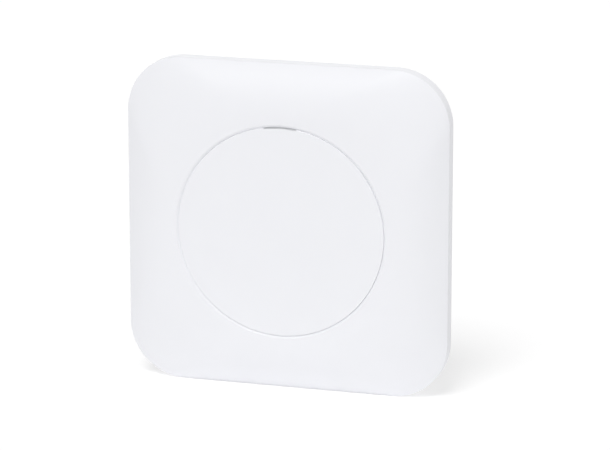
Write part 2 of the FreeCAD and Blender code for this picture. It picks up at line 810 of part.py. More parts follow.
def make_bracket():
    body = new_body("bracket_plate")
    plate = body_sketch(body, "bracket_disc", lift="bracket_stand")
    bound_circle(plate, "outside", BRACKET_RADIUS)
    bound_circle(plate, "cable_hole", BRACKET_HOLE)
    pad(body, plate, "bracket_wall")
    rims = body_sketch(body, "bracket_rims")
    bound_circle(rims, "outside", BRACKET_RADIUS)
    bound_circle(rims, "outer_rim", f"{BRACKET_RADIUS} - bracket_rim")
    bound_circle(rims, "inner_rim", f"{BRACKET_HOLE} + bracket_rim")
    bound_circle(rims, "cable_hole", BRACKET_HOLE)
    pad(body, rims, "bracket_stand")
    screw_x = f"{BRACKET_RADIUS} - ceiling_screw_inset"
    foot = body_sketch(body, "bracket_foot")
    bound_circle(foot, "foot", "ceiling_screw_pad", screw_x, "0.0")
    foot_pad = pad(body, foot, "bracket_stand")
    hole = body_sketch(body, "bracket_screw_hole", lift=BRACKET_FRONT)
    bound_circle(hole, "hole", "ceiling_screw_hole", screw_x, "0.0")
    hole_cut = pocket(body, hole, BRACKET_FRONT)
    recess = body_sketch(body, "bracket_screw_head", lift=BRACKET_FRONT)
    bound_circle(recess, "recess", "ceiling_screw_head", screw_x, "0.0")
    head_cut = pocket(body, recess, f"{BRACKET_FRONT} - ceiling_screw_land")
    pattern = body.newObject("PartDesign::PolarPattern", "bracket_quarters")
    pattern.Originals = [foot_pad, hole_cut, head_cut]
    pattern.Axis = (plate, ["N_Axis"])
    pattern.Angle = 360
    pattern.Occurrences = 4
    body.Tip = pattern
    neck = "(stud_neck + keyhole_fit)"
    head = "(stud_head + keyhole_entry_fit)"
    through = ("0 - bracket_wall", f"{BRACKET_FRONT} + bracket_wall")
    keyholes = []
    entries = stud_places(turn="0 - twist_angle")
    for number, ((x, y), (entry_x, entry_y)) in enumerate(zip(stud_places(), entries), start=1):
        start = f"{90 * number - 45} - twist_angle"
        inner, outer = f"{STUD_CIRCLE} - {neck}", f"{STUD_CIRCLE} + {neck}"
        keyholes.append(sector(f"keyhole_arc_{number}", inner, outer, through, start, "twist_angle"))
        keyholes.append(disc(f"keyhole_end_{number}", neck, through, x, y))
        keyholes.append(disc(f"keyhole_entry_{number}", head, through, entry_x, entry_y))
    return cut("ceiling_bracket_solid", body, *keyholes)


def make_board():
    body = new_body("board_plate")
    middle = f"({BOARD_TOP} + {BOARD_LOW}) / 2"
    shape = body_sketch(body, "board_outline", lift="board_back")
    rounded_outline(shape, BOARD_HALF, f"({BOARD_TOP} - {BOARD_LOW}) / 2", "board_corner")
    pad(body, shape, "board_wall")
    place(body, "0", middle, "0")
    through = ("board_back - board_wall", f"{BOARD_FRONT} + board_wall")
    holes = [
        disc(f"board_hole_{number}", "screw_radius + screw_free_fit", through, x, y)
        for number, (x, y) in enumerate(board_corners(), start=1)
    ]
    for number, (x, y) in enumerate(sink_pin_places(), start=1):
        holes.append(disc(f"board_pin_hole_{number}", "sink_pin_radius + screw_thread_fit", through, x, y))
    return cut("main_board_solid", body, *holes)


def screw_profile(length):
    """Half of a screw with a pan head under its own head's seat, the drive hole in the head."""
    return [
        ("0", f"0 - {length}"),
        ("screw_radius", f"0 - {length}"),
        ("screw_radius", "0"),
        ("screw_head", "0"),
        ("screw_head", "screw_head_wall"),
        ("drive_radius", "screw_head_wall"),
        ("drive_radius", "screw_head_wall - drive_depth"),
        ("0", "screw_head_wall - drive_depth"),
    ]


def make_board_screws():
    profile = screw_profile("board_screw_length")
    return [
        turned(f"board_screw_{number}", profile, x, y, BOARD_FRONT)
        for number, (x, y) in enumerate(board_corners(), start=1)
    ]


def make_case_screws():
    screws = []
    for number, (x, y) in enumerate(case_corners(), start=1):
        screw = turned(f"case_screw_{number}", screw_profile("case_screw_length"), x, y, CASE_HEAD_UNDER)
        screw.Placement.Rotation = FreeCAD.Rotation(FreeCAD.Vector(1, 0, 0), 180)
        screws.append(screw)
    return screws


def make_heat_sink():
    body = new_body("sink_plate")
    base = body_sketch(body, "sink_base")
    rounded_outline(base, SINK_HALF, SINK_HALF, "sink_wall")
    pad(body, base, "sink_wall")
    fin = body_sketch(body, "sink_fin", lift="sink_wall")
    bound_profile(
        fin,
        [
            (f"0 - {SINK_HALF}", f"0 - {SINK_HALF} + sink_wall"),
            (f"0 - {SINK_HALF} + sink_fin_wall", f"0 - {SINK_HALF} + sink_wall"),
            (f"0 - {SINK_HALF} + sink_fin_wall", f"{SINK_HALF} - sink_wall"),
            (f"0 - {SINK_HALF}", f"{SINK_HALF} - sink_wall"),
        ],
    )
    fin_pad = pad(body, fin, "sink_fin_rise")
    pattern = body.newObject("PartDesign::LinearPattern", "sink_fins")
    pattern.Originals = [fin_pad]
    pattern.Direction = (fin, ["H_Axis"])
    fin_run = f"(2 * {SINK_HALF} - sink_fin_wall)"
    bind(pattern, "Length", fin_run)
    bind(pattern, "Occurrences", f"floor({fin_run} / sink_fin_pitch) + 1")
    body.Tip = pattern
    base_back = f"{BOARD_FRONT} + chip_wall + pad_wall"
    place(body, "0", "chip_y", base_back)
    through = (f"{base_back} - sink_wall", f"{base_back} + 2 * sink_wall + sink_fin_rise")
    holes = []
    above = (f"{base_back} + sink_wall", through[1])
    for number, (x, y) in enumerate(sink_pin_places(), start=1):
        holes.append(disc(f"sink_pin_hole_{number}", "sink_pin_radius + screw_thread_fit", through, x, y))
        holes.append(disc(f"sink_pin_room_{number}", "sink_pin_head + screw_free_fit", above, x, y))
    return cut("heat_sink_solid", body, *holes)


def make_sink_pins():
    head_under = f"{BOARD_FRONT} + chip_wall + pad_wall + sink_wall"
    profile = [
        ("0", "board_back - sink_pin_tail"),
        ("sink_pin_radius / 2", "board_back - sink_pin_tail"),
        ("sink_pin_radius", "board_back"),
        ("sink_pin_radius", head_under),
        ("sink_pin_head", head_under),
        ("sink_pin_head", f"{head_under} + sink_pin_radius"),
        ("0", f"{head_under} + sink_pin_radius"),
    ]
    places = enumerate(sink_pin_places(), start=1)
    return [turned(f"sink_pin_{number}", profile, x, y) for number, (x, y) in places]


def chip(name, x, y, half_x, half_y, tall, base=BOARD_FRONT):
    """A block of half sizes half_x and half_y about x, y, standing on the depth base."""
    return box(
        name,
        (f"{x} - {half_x}", f"{x} + {half_x}"),
        (f"{y} - {half_y}", f"{y} + {half_y}"),
        (base, f"{base} + {tall}"),
    )


def chip_pair(name, x, y, half_x, half_y, tall):
    """The same chip left and right of the middle."""
    return [chip(f"{name}_{side + 2}", signed(side, x), y, half_x, half_y, tall) for side in SIDES]


def hanging_block(name, x, behind):
    """A part on the board's ceiling side, past the depth behind by its gap, its sizes named after it."""
    y = f"({behind} + {name}_gap + {name}_half_y)"
    tall = f"{name}_tall"
    return chip(f"{name}_body", x, y, f"{name}_half_x", f"{name}_half_y", tall, f"board_back - {tall}")


def make_capacitors():
    depth = ("board_back - can_tall", "board_back")
    places = enumerate(("can_x", "can_x + can_pitch"), start=1)
    return [disc(f"capacitor_{number}", "can_radius", depth, x, CAN_Y) for number, x in places]


def make_radio_shield(name, side):
    x = signed(side, SHIELD_X)
    can = chip(f"shield_{name}", x, "shield_y", "shield_half_x", "shield_half_y", "shield_rise")
    inside = ("shield_half_x - shield_sheet", "shield_half_y - shield_sheet", "shield_rise - shield_sheet")
    return cut(f"shield_{name}_can", can, chip(f"shield_{name}_room", x, "shield_y", *inside))


def stamped_antenna(name, x, y, top):
    """A raised strip between the (low, high) pairs x and y, on a leg at each end of its longer run."""
    leg_ends = ((y[0], f"{y[0]} + antenna_sheet"), (f"{y[1]} - antenna_sheet", y[1]))
    depth = (BOARD_FRONT, top)
    legs = [box(f"{name}_leg_{number}", x, ends, depth) for number, ends in enumerate(leg_ends, start=1)]
    return fuse(name, box(f"{name}_strip", x, y, (f"{top} - antenna_sheet", top)), *legs)


def make_tall_antennas():
    """The 2.4 GHz pair, running up the board's two sides."""
    top = f"({BOARD_FRONT} + low_band_rise)"
    middle = f"({BOARD_TOP} - low_band_top_inset)"
    along = (f"{middle} - low_band_half", f"{middle} + low_band_half")
    pair = []
    for side in SIDES:
        x = signed(side, f"{BOARD_HALF} - low_band_inset")
        across = (f"{x} - antenna_half", f"{x} + antenna_half")
        pair.append(stamped_antenna(f"low_band_{side + 2}", across, along, top))
    return pair


def make_wide_antennas():
    """The 5 GHz pair, lying along the board's top edge."""
    top = f"({BOARD_FRONT} + high_band_rise)"
    middle = f"({BOARD_TOP} - high_band_inset)"
    along = (f"{middle} - antenna_half", f"{middle} + antenna_half")
    pair = []
    for side in SIDES:
        x = signed(side, f"{BOARD_HALF} - high_band_side_inset")
        across = (f"{x} - high_band_half", f"{x} + high_band_half")
        pair.append(stamped_antenna(f"high_band_{side + 2}", across, along, top))
    return pair


def jack_box(name, shrink):
    return box(
        name,
        (f"jack_x - jack_half + {shrink}", f"jack_x + jack_half - {shrink}"),
        (f"{PORT_FRONT} + {shrink}", f"{JACK_END} - {shrink}"),
        (f"board_back - jack_tall + {shrink}", f"board_back - {shrink}"),
    )


PLUG_ROOF = "(board_back - plug_inset)"
PLUG_FLOOR = f"({PLUG_ROOF} - plug_tall)"


def plug_rooms(name):
    """The room for a plug's body and, towards the ceiling, for its latch."""
    mouth = f"{PORT_FRONT} - port_proud"
    body_room = box(
        f"{name}_plug_room",
        ("jack_x - plug_half", "jack_x + plug_half"),
        (mouth, f"{PORT_FRONT} + plug_deep"),
        (PLUG_FLOOR, PLUG_ROOF),
    )
    latch_room = box(
        f"{name}_latch_room",
        ("jack_x - latch_half", "jack_x + latch_half"),
        (mouth, f"{PORT_FRONT} + latch_deep"),
        (f"{PLUG_FLOOR} - latch_tall", PLUG_ROOF),
    )
    return body_room, latch_room


def make_jack_shell():
    inside = jack_box("jack_shell_inside", "jack_sheet")
    return cut("jack_shell_solid", jack_box("jack_shell_outside", "0"), inside, *plug_rooms("shell"))


def make_jack_insert():
    return cut("jack_insert_solid", jack_box("jack_insert_block", "jack_sheet"), *plug_rooms("insert"))


def make_jack_contacts():
    wires = []
    for number in range(8):
        wire = doc.addObject("Part::Box", f"contact_{number}")
        bind(wire, "Length", "2 * contact_half")
        bind(wire, "Width", "contact_length")
        bind(wire, "Height", "2 * contact_half")
        wire.Placement.Rotation = FreeCAD.Rotation(FreeCAD.Vector(-1, 0, 0), 10)
        bind(wire, "Placement.Rotation.Angle", "contact_drop")
        across = f"jack_x + contact_pitch * {number - 3.5} - contact_half"
        place(wire, across, f"{PORT_FRONT} + plug_inset", f"{PLUG_ROOF} - 2 * contact_half")
        wires.append(wire)
    return wires


INLET_HEIGHT = "(board_back - inlet_axis)"


def make_inlet():
    block = box(
        "inlet_block",
        ("inlet_x - inlet_half", "inlet_x + inlet_half"),
        (PORT_FRONT, f"{PORT_FRONT} + inlet_length"),
        ("board_back - inlet_tall", "board_back"),
    )
    mouth = (f"{PORT_FRONT} - port_proud", f"{PORT_FRONT} + inlet_deep")
    return cut("dc_jack_solid", block, rod("inlet_hole_cut", "inlet_hole", mouth, "inlet_x", INLET_HEIGHT))


def make_inlet_pin():
    reach = (f"{PORT_FRONT} + inlet_pin_set", f"{PORT_FRONT} + inlet_deep")
    return rod("inlet_pin_form", "inlet_pin", reach, "inlet_x", INLET_HEIGHT)


RESET_AXIS = ("reset_x", "board_back - reset_axis")
RESET_COLLAR_FACE = f"({BAY_WALL_INSIDE} + port_fit)"
RESET_COLLAR_END = f"({RESET_COLLAR_FACE} + reset_collar_wall)"
RESET_STEM_END = f"({RESET_COLLAR_END} + reset_stem_length)"
SWITCH_FACE = f"({RESET_STEM_END} + plunger_out)"


def make_reset_button():
    return fuse(
        "reset_button_solid",
        rod("reset_cap", "reset_radius", (f"{BAY_FACE} - reset_proud", RESET_COLLAR_END), *RESET_AXIS),
        rod("reset_collar_form", "reset_collar", (RESET_COLLAR_FACE, RESET_COLLAR_END), *RESET_AXIS),
        rod("reset_stem_form", "reset_stem", (RESET_COLLAR_END, RESET_STEM_END), *RESET_AXIS),
    )


def make_reset_plunger():
    reach = (RESET_STEM_END, f"{RESET_STEM_END} + plunger_length")
    return rod("plunger_form", "plunger_radius", reach, *RESET_AXIS)


def make_reset_switch():
    block = box(
        "switch_block",
        ("reset_x - switch_half", "reset_x + switch_half"),
        (SWITCH_FACE, f"{SWITCH_FACE} + switch_length"),
        ("board_back - reset_axis - switch_half", "board_back"),
    )
    bottom = f"{RESET_STEM_END} + plunger_length + reset_travel + reset_running_fit"
    bore = rod("switch_bore", "plunger_radius + reset_running_fit", (RESET_STEM_END, bottom), *RESET_AXIS)
    return cut("reset_switch_solid", block, bore)


def make_label():
    top = f"({REAR_HALF} - label_inset)"
    depth = ("rear_gap - label_wall", "rear_gap")
    return box("label_sheet", ("0 - label_half", "label_half"), (f"{top} - label_tall", top), depth)


finish("front_cover", make_front_cover())
finish("centre_cover", make_centre_cover())
finish("light_guide", make_light_guide())
finish("rear_shell", make_rear_shell())
finish("bayonet_studs", *make_studs())
finish("ceiling_bracket", make_bracket())
finish("main_board", make_board())
finish("board_screws", *make_board_screws())
finish("case_screws", *make_case_screws())
finish("processor", chip("processor_block", "0", "chip_y", "chip_half", "chip_half", "chip_wall"))
finish("thermal_pad", chip("pad_block", "0", "chip_y", "pad_half", "pad_half", "pad_wall", CHIP_FRONT))
finish("heat_sink", make_heat_sink())
finish("heat_sink_pins", *make_sink_pins())
finish(
    "memory_chips",
    *chip_pair("memory", MEMORY_X, "chip_y", "memory_half_x", "memory_half_y", "memory_wall"),
)
finish("radio_chips", *chip_pair("radio", SHIELD_X, "shield_y", "radio_half", "radio_half", "radio_wall"))
finish("radio_shield_left", make_radio_shield("left", -1))
finish("radio_shield_right", make_radio_shield("right", 1))
finish("status_leds", *chip_pair("led", "led_x", GUIDE_MIDDLE, "led_half_x", "led_half_y", "led_wall"))
finish("antennas_24ghz", *make_tall_antennas())
finish("antennas_5ghz", *make_wide_antennas())
finish("ethernet_transformer", hanging_block("lan_block", "jack_x", JACK_END))
finish("poe_transformer", hanging_block("poe_block", "poe_block_x", JACK_END))
finish("capacitors", *make_capacitors())
finish("power_inductor", hanging_block("coil", "coil_x", f"({CAN_Y} + can_radius)"))
finish("ethernet_jack_shell", make_jack_shell())
finish("ethernet_jack_insert", make_jack_insert())
finish("ethernet_contacts", *make_jack_contacts())
finish("dc_jack", make_inlet())
finish("dc_jack_pin", make_inlet_pin())
finish("reset_switch", make_reset_switch())
finish("reset_plunger", make_reset_plunger())
finish("reset_button", make_reset_button())
finish("rating_label", make_label())

doc.recompute()
for thing in doc.Objects:
    if "Invalid" in thing.State or "Error" in thing.State:
        raise RuntimeError(f"{thing.Name} failed: {thing.State}")
for piece in finished:
    if piece.Shape.isNull() or not piece.Shape.isValid():
        raise RuntimeError(f"{piece.Label} has no valid shape")

os.makedirs("parts", exist_ok=True)
for piece in finished:
    piece.Shape.exportStep(f"parts/{piece.Label}.step")
    solids = len(piece.Shape.Solids)
    print(f"{piece.Label}: {solids} solid(s), {piece.Shape.Volume / 1000:.2f} cm3")
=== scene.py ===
"""The finished look of a ceiling access point, dressed round its packed construction model.

The construction model is loaded as a fixed frame. The two covers that face the room get finely
rounded skins of the same size, and every other piece keeps its construction shape and gets its own
finish. Shapes are drawn lying down, in millimetres: x to the right, y towards the top edge and
depth from the ceiling face towards the room. They reach the frame upright and in metres: the room
is towards -Y.
"""

import logging
import math
from collections.abc import Iterator, Sequence
from dataclasses import dataclass, field
from enum import Enum, auto

import bmesh
import bpy
import numpy as np
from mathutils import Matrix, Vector


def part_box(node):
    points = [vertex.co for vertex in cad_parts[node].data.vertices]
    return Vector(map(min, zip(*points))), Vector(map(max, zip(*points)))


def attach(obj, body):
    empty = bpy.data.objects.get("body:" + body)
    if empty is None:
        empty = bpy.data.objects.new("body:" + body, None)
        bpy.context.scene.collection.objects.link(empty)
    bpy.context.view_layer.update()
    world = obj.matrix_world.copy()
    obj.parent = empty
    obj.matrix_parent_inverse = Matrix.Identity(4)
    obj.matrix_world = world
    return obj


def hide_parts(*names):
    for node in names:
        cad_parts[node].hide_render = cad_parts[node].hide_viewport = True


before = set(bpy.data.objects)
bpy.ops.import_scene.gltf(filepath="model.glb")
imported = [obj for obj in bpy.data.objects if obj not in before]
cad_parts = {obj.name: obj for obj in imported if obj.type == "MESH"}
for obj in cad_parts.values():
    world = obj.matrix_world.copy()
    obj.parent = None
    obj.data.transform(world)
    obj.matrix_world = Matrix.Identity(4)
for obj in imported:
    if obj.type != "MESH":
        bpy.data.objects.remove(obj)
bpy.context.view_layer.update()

LOG = logging.getLogger("access_point")
MM = 0.001
FULL_TURN = 2 * math.pi
HALF_TURN = math.pi
QUARTER = math.pi / 2

Colour = tuple[float, float, float]
Point = tuple[float, float, float]
Place = tuple[float, float]
Span = tuple[float, float]
Settings = dict[str, object] | None
Inputs = dict[str | int, object] | None


# ---------------------------------------------------------------- shader expressions

PLAIN_WHITE = (1.0, 1.0, 1.0, 1.0)
NOISE_MIDDLE = 0.5
MIX_LOW, MIX_HIGH, MIX_RESULT = 6, 7, 2


class Op(Enum):
    """What a Math node works out."""

    ADD = auto()
    SUBTRACT = auto()
    MULTIPLY = auto()
    DIVIDE = auto()
    LESS_THAN = auto()
    GREATER_THAN = auto()
    ABSOLUTE = auto()
    FRACT = auto()
    MINIMUM = auto()
    MAXIMUM = auto()


class Glow(Enum):
    """A node that gives light by itself."""

    SURFACE = "ShaderNodeEmission"
    SURROUNDINGS = "ShaderNodeBackground"


class Socket:
    """An output of a node, ready to be linked to other nodes."""

    def __init__(self, shader: "Shader", socket: bpy.types.NodeSocket) -> None:
        """Keep the socket and the node tree that it belongs to."""
        self.shader = shader
        self.socket = socket


class Value(Socket):
    """A number that varies over a surface. Arithmetic on it adds Math nodes."""

    def __add__(self, other: "Number") -> "Value":
        """The sum."""
        return self.shader.math(Op.ADD, self, other)

    __radd__ = __add__

    def __sub__(self, other: "Number") -> "Value":
        """The difference."""
        return self.shader.math(Op.SUBTRACT, self, other)

    def __rsub__(self, other: "Number") -> "Value":
        """The difference, with this value taken away."""
        return self.shader.math(Op.SUBTRACT, other, self)

    def __mul__(self, other: "Number") -> "Value":
        """The product."""
        return self.shader.math(Op.MULTIPLY, self, other)

    __rmul__ = __mul__

    def __truediv__(self, other: "Number") -> "Value":
        """The quotient."""
        return self.shader.math(Op.DIVIDE, self, other)

    def __lt__(self, other: "Number") -> "Value":
        """1 where this value is the smaller, 0 elsewhere."""
        return self.shader.math(Op.LESS_THAN, self, other)

    def __gt__(self, other: "Number") -> "Value":
        """1 where this value is the larger, 0 elsewhere."""
        return self.shader.math(Op.GREATER_THAN, self, other)

    def __abs__(self) -> "Value":
        """The size without its sign."""
        return self.shader.math(Op.ABSOLUTE, self)


Number = Value | float


class Shader:
    """The node tree of a material or of the world."""

    def __init__(self, owner: bpy.types.Material | bpy.types.World) -> None:
        """Start with no nodes but the output.

        Args:
            owner: What the nodes belong to.
        """
        owner.use_nodes = True
        self.tree = owner.node_tree
        self.tree.nodes.clear()
        in_world = isinstance(owner, bpy.types.World)
        self.output = self.node("ShaderNodeOutputWorld" if in_world else "ShaderNodeOutputMaterial")

    def node(self, kind: str, settings: Settings = None, inputs: Inputs = None) -> bpy.types.Node:
        """Add a node.

        Args:
            kind: The node's type.
            settings: Its own properties, set first.
            inputs: A number, colour, vector or socket for each input, by name or place.

        Returns:
            The new node.
        """
        made = self.tree.nodes.new(kind)
        for name, value in (settings or {}).items():
            setattr(made, name, value)
        for name, value in (inputs or {}).items():
            if isinstance(value, Socket):
                self.tree.links.new(value.socket, made.inputs[name])
            else:
                made.inputs[name].default_value = value
        return made

    def socket(
        self, kind: str, settings: Settings = None, inputs: Inputs = None, output: str | int = 0
    ) -> Socket:
        """One output of a new node, for a colour, a vector or a shader."""
        return Socket(self, self.node(kind, settings, inputs).outputs[output])

    def value(
        self, kind: str, settings: Settings = None, inputs: Inputs = None, output: str | int = 0
    ) -> Value:
        """One output of a new node, for a number."""
        return Value(self, self.node(kind, settings, inputs).outputs[output])

    def math(self, operation: Op, *operands: Number) -> Value:
        """The result of a Math node on its operands."""
        settings = {"operation": operation.name}
        return self.value("ShaderNodeMath", settings, dict(enumerate(operands)))

    def mix(self, factor: Number, low: Colour | Socket, high: Colour | Socket) -> Socket:
        """Blend two colours.

        Args:
            factor: 0 gives the first and 1 the second.
            low: The first colour.
            high: The second colour.

        Returns:
            The blend.
        """
        low, high = ((*end, 1.0) if isinstance(end, tuple) else end for end in (low, high))
        inputs = {0: factor, MIX_LOW: low, MIX_HIGH: high}
        return self.socket("ShaderNodeMix", {"data_type": "RGBA"}, inputs, MIX_RESULT)

    def split(self, vector: Socket) -> tuple[Value, Value, Value]:
        """The vector's parts along X, Y and Z."""
        x, y, z = self.node("ShaderNodeSeparateXYZ", None, {"Vector": vector}).outputs
        return Value(self, x), Value(self, y), Value(self, z)

    def white_to_view(self) -> Value:
        """Tell the rays that see a thing from the rays that light it.

        Returns:
            1 for the view, for mirrored light and for light seen through glass, 0 for other light.
        """
        rays = self.node("ShaderNodeLightPath")
        names = ("Is Camera Ray", "Is Glossy Ray", "Is Transmission Ray")
        seen, mirrored, through = (Value(self, rays.outputs[name]) for name in names)
        return self.math(Op.MAXIMUM, self.math(Op.MAXIMUM, seen, mirrored), through)

    def glow(self, kind: Glow, strength: Number = 1.0) -> Socket:
        """White light of a strength."""
        return self.socket(kind.value, None, {"Color": PLAIN_WHITE, "Strength": strength})

    def blend(self, factor: Number, low: Socket, high: Socket) -> Socket:
        """A blend of two shaders: 0 gives the first and 1 the second."""
        return self.socket("ShaderNodeMixShader", None, {0: factor, 1: low, 2: high})

    def finish(self, surface: Socket) -> None:
        """Link the last shader to the output."""
        self.tree.links.new(surface.socket, self.output.inputs["Surface"])


class Surface(Shader):
    """The node tree of one material."""

    def __init__(self, name: str) -> None:
        """Start an empty material.

        Args:
            name: The material's name.
        """
        self.material = bpy.data.materials.new(name)
        super().__init__(self.material)
        self.place = self.socket("ShaderNodeTexCoord", output="Object")

    def axes(self) -> tuple[Value, Value, Value]:
        """The place on the piece, in millimetres, along the frame's X, Y and Z."""
        x, y, z = self.split(self.place)
        return x / MM, y / MM, z / MM

    def stretched(self, stretch: Point) -> Socket:
        """The place with each axis multiplied: a pattern is drawn out along the smallest."""
        inputs = {0: self.place, 1: stretch}
        return self.socket("ShaderNodeVectorMath", {"operation": "MULTIPLY"}, inputs)

    def noise(
        self,
        size: float,
        detail: float = 2.0,
        stretch: Point = (1.0, 1.0, 1.0),
        warp: float = 0.0,
    ) -> Value:
        """Smooth noise from about 0 to 1.

        Args:
            size: The width of its patches, in millimetres.
            detail: How many finer layers it has.
            stretch: What each axis is multiplied by.
            warp: How far the patches are pulled out of shape.

        Returns:
            The noise.
        """
        inputs = {
            "Vector": self.stretched(stretch),
            "Scale": 1.0 / (size * MM),
            "Detail": detail,
            "Distortion": warp,
        }
        return self.value("ShaderNodeTexNoise", None, inputs, "Fac")

    def cells(self, size: float, randomness: float = 1.0) -> Value:
        """Distance to the nearest of points about size millimetres apart, as a share of size."""
        inputs = {"Vector": self.place, "Scale": 1.0 / (size * MM), "Randomness": randomness}
        return self.value("ShaderNodeTexVoronoi", {"feature": "F1"}, inputs, "Distance")

    def spots(self, spot_middles: Sequence[Place], radius: float) -> Number:
        """Mark round spots on the faces that look into the room.

        Args:
            spot_middles: The x and z of each spot's middle, in millimetres.
            radius: The radius of each spot, in millimetres.

        Returns:
            1 in the spots and 0 elsewhere.
        """
        x, _, z = self.axes()
        inside: Number = 0.0
        for middle_x, middle_z in spot_middles:
            away = (x - middle_x) * (x - middle_x) + (z - middle_z) * (z - middle_z)
            inside = (away < radius**2) + inside
        return inside

    def ramp(self, value: Number, low: float, high: float) -> Value:
        """An even rise from 0 at low to 1 at high, level outside them."""
        inputs = {"Value": value, "From Min": low, "From Max": high}
        return self.value("ShaderNodeMapRange", {"clamp": True}, inputs)

    def shades(self, factor: Number, colour: Colour, span: Span) -> Socket:
        """The colour, multiplied by the span's first number at 0 and by its second at 1."""
        return self.mix(factor, shaded(colour, span[0]), shaded(colour, span[1]))

    def bump(self, height: Number, depth: float) -> Socket:
        """The normal of a surface that rises by depth millimetres where height is 1."""
        inputs = {"Height": height, "Distance": depth * MM, "Strength": 1.0}
        return self.socket("ShaderNodeBump", None, inputs, "Normal")

    def principled(self, **inputs: Number | Colour | Socket) -> bpy.types.Material:
        """Close the material with a Principled surface.

        Args:
            **inputs: The surface's sockets, with _ for each space in their names.

        Returns:
            The finished material.
        """
        named = {name.replace("_", " "): value for name, value in inputs.items()}
        self.finish(self.socket("ShaderNodeBsdfPrincipled", None, named))
        return self.material


def shaded(colour: Colour, share: float) -> Colour:
    """The colour with each part multiplied by share, at most 1."""
    red, green, blue = (min(1.0, part * share) for part in colour)
    return red, green, blue


def weighed(first: Value, second: Value, share: float) -> Value:
    """Two patterns added, with that share of the second and the rest of the first."""
    return first * (1.0 - share) + second * share


def varied(base: Number, *swings: tuple[Value, float]) -> Number:
    """Let noises move a number up and down.

    Args:
        base: The number about which it varies.
        *swings: Each noise, and how far the number moves from the noise's 0 to its 1.

    Returns:
        The number as it varies over the surface.
    """
    for noise, reach in swings:
        base = base + (noise - NOISE_MIDDLE) * reach
    return base


# ---------------------------------------------------------------- finishes
#
# A pattern is told by the width of its patches and by its depth, in millimetres. A field that ends
# in _share weighs one pattern against another, _range is where a pattern starts and stops rising,
# and _rough is how far a pattern moves the roughness. Shades are what the colour is multiplied by.


@dataclass(frozen=True)
class MouldedPlastic:
    """Injection-moulded plastic from a spark-eroded tool, with faint clouds from its flow."""

    name: str
    colour: Colour
    roughness: float = 0.45
    grain: float = 0.5
    grain_depth: float = 0.004
    cloud: float = 24.0
    shade: float = 0.005
    speck_share: float = 0.25
    specular: float = 0.5
    pit_per_grain: float = 2.3
    pit_range: Span = (0.35, 0.65)
    pit_share: float = 0.4
    tone_range: Span = (0.25, 0.75)
    cloud_rough: float = 0.08
    grain_rough: float = 0.12

    def make(self) -> bpy.types.Material:
        """Mix the plastic.

        Returns:
            Its material.
        """
        shader = Surface(self.name)
        cloud = shader.noise(self.cloud, detail=3.0, warp=0.4)
        grain = shader.noise(self.grain)
        pit = shader.noise(self.grain * self.pit_per_grain, detail=1.0)
        pits = shader.ramp(pit, *self.pit_range)
        tone = shader.ramp(weighed(cloud, grain, self.speck_share), *self.tone_range)
        return shader.principled(
            Base_Color=shader.shades(tone, self.colour, (1.0 - self.shade, 1.0 + self.shade)),
            Roughness=varied(self.roughness, (cloud, self.cloud_rough), (grain, self.grain_rough)),
            Specular_IOR_Level=self.specular,
            Normal=shader.bump(weighed(grain, pits, self.pit_share), self.grain_depth),
        )


@dataclass(frozen=True)
class FrostedGuide:
    """Clear plastic with a milky filler and a frosted end, which spreads the diodes' light."""

    name: str
    colour: Colour
    roughness: float = 0.38
    frost: float = 0.22
    frost_depth: float = 0.006
    frost_rough: float = 0.2
    haze: float = 3.0
    shades: Span = (0.94, 1.06)
    clearness: float = 0.25
    ior: float = 1.49

    def make(self) -> bpy.types.Material:
        """Mix the milky plastic.

        Returns:
            Its material.
        """
        shader = Surface(self.name)
        frost = shader.noise(self.frost, detail=3.0)
        return shader.principled(
            Base_Color=shader.shades(shader.noise(self.haze), self.colour, self.shades),
            Roughness=varied(self.roughness, (frost, self.frost_rough)),
            Transmission_Weight=self.clearness,
            IOR=self.ior,
            Normal=shader.bump(frost, self.frost_depth),
        )


@dataclass(frozen=True)
class RolledMetal:
    """Plated sheet with the long fine lines of rolling, faint stains and small dents."""

    name: str
    colour: Colour
    roughness: float = 0.3
    along: Point = (1.0, 1.0, 0.05)
    line: float = 0.12
    line_depth: float = 0.0012
    line_rough: float = 0.16
    stain: float = 5.0
    stain_share: float = 0.65
    stain_rough: float = 0.14
    dent: float = 2.4
    dent_share: float = 0.3
    tone_range: Span = (0.3, 0.7)
    shades: Span = (0.86, 1.06)

    def make(self) -> bpy.types.Material:
        """Mix the plated metal.

        Returns:
            Its material.
        """
        shader = Surface(self.name)
        lines = shader.noise(self.line, stretch=self.along)
        stain = shader.noise(self.stain, detail=3.0, warp=0.8)
        dents = shader.noise(self.dent, detail=0.0)
        tone = shader.ramp(weighed(lines, stain, self.stain_share), *self.tone_range)
        return shader.principled(
            Base_Color=shader.shades(tone, self.colour, self.shades),
            Metallic=1.0,
            Roughness=varied(self.roughness, (lines, self.line_rough), (stain, self.stain_rough)),
            Normal=shader.bump(weighed(lines, dents, self.dent_share), self.line_depth),
        )


@dataclass(frozen=True)
class MachinedSteel:
    """Zinc-plated screw steel: soft mottled plating over fine machining marks."""

    name: str
    colour: Colour
    roughness: float = 0.3
    spangle: float = 0.5
    marks: float = 0.06
    marks_along: Point = (1.0, 0.3, 1.0)
    marks_depth: float = 0.001
    marks_rough: float = 0.1
    dull: float = 1.8
    dull_range: Span = (0.35, 0.7)
    dull_share: float = 0.5
    dull_rough: float = 0.14
    shades: Span = (1.05, 0.82)

    def make(self) -> bpy.types.Material:
        """Mix the plated steel.

        Returns:
            Its material.
        """
        shader = Surface(self.name)
        marks = shader.noise(self.marks, stretch=self.marks_along)
        dull = shader.ramp(shader.noise(self.dull), *self.dull_range)
        tone = weighed(shader.cells(self.spangle), dull, self.dull_share)
        return shader.principled(
            Base_Color=shader.shades(tone, self.colour, self.shades),
            Metallic=1.0,
            Roughness=varied(self.roughness + dull * self.dull_rough, (marks, self.marks_rough)),
            Normal=shader.bump(marks, self.marks_depth),
        )


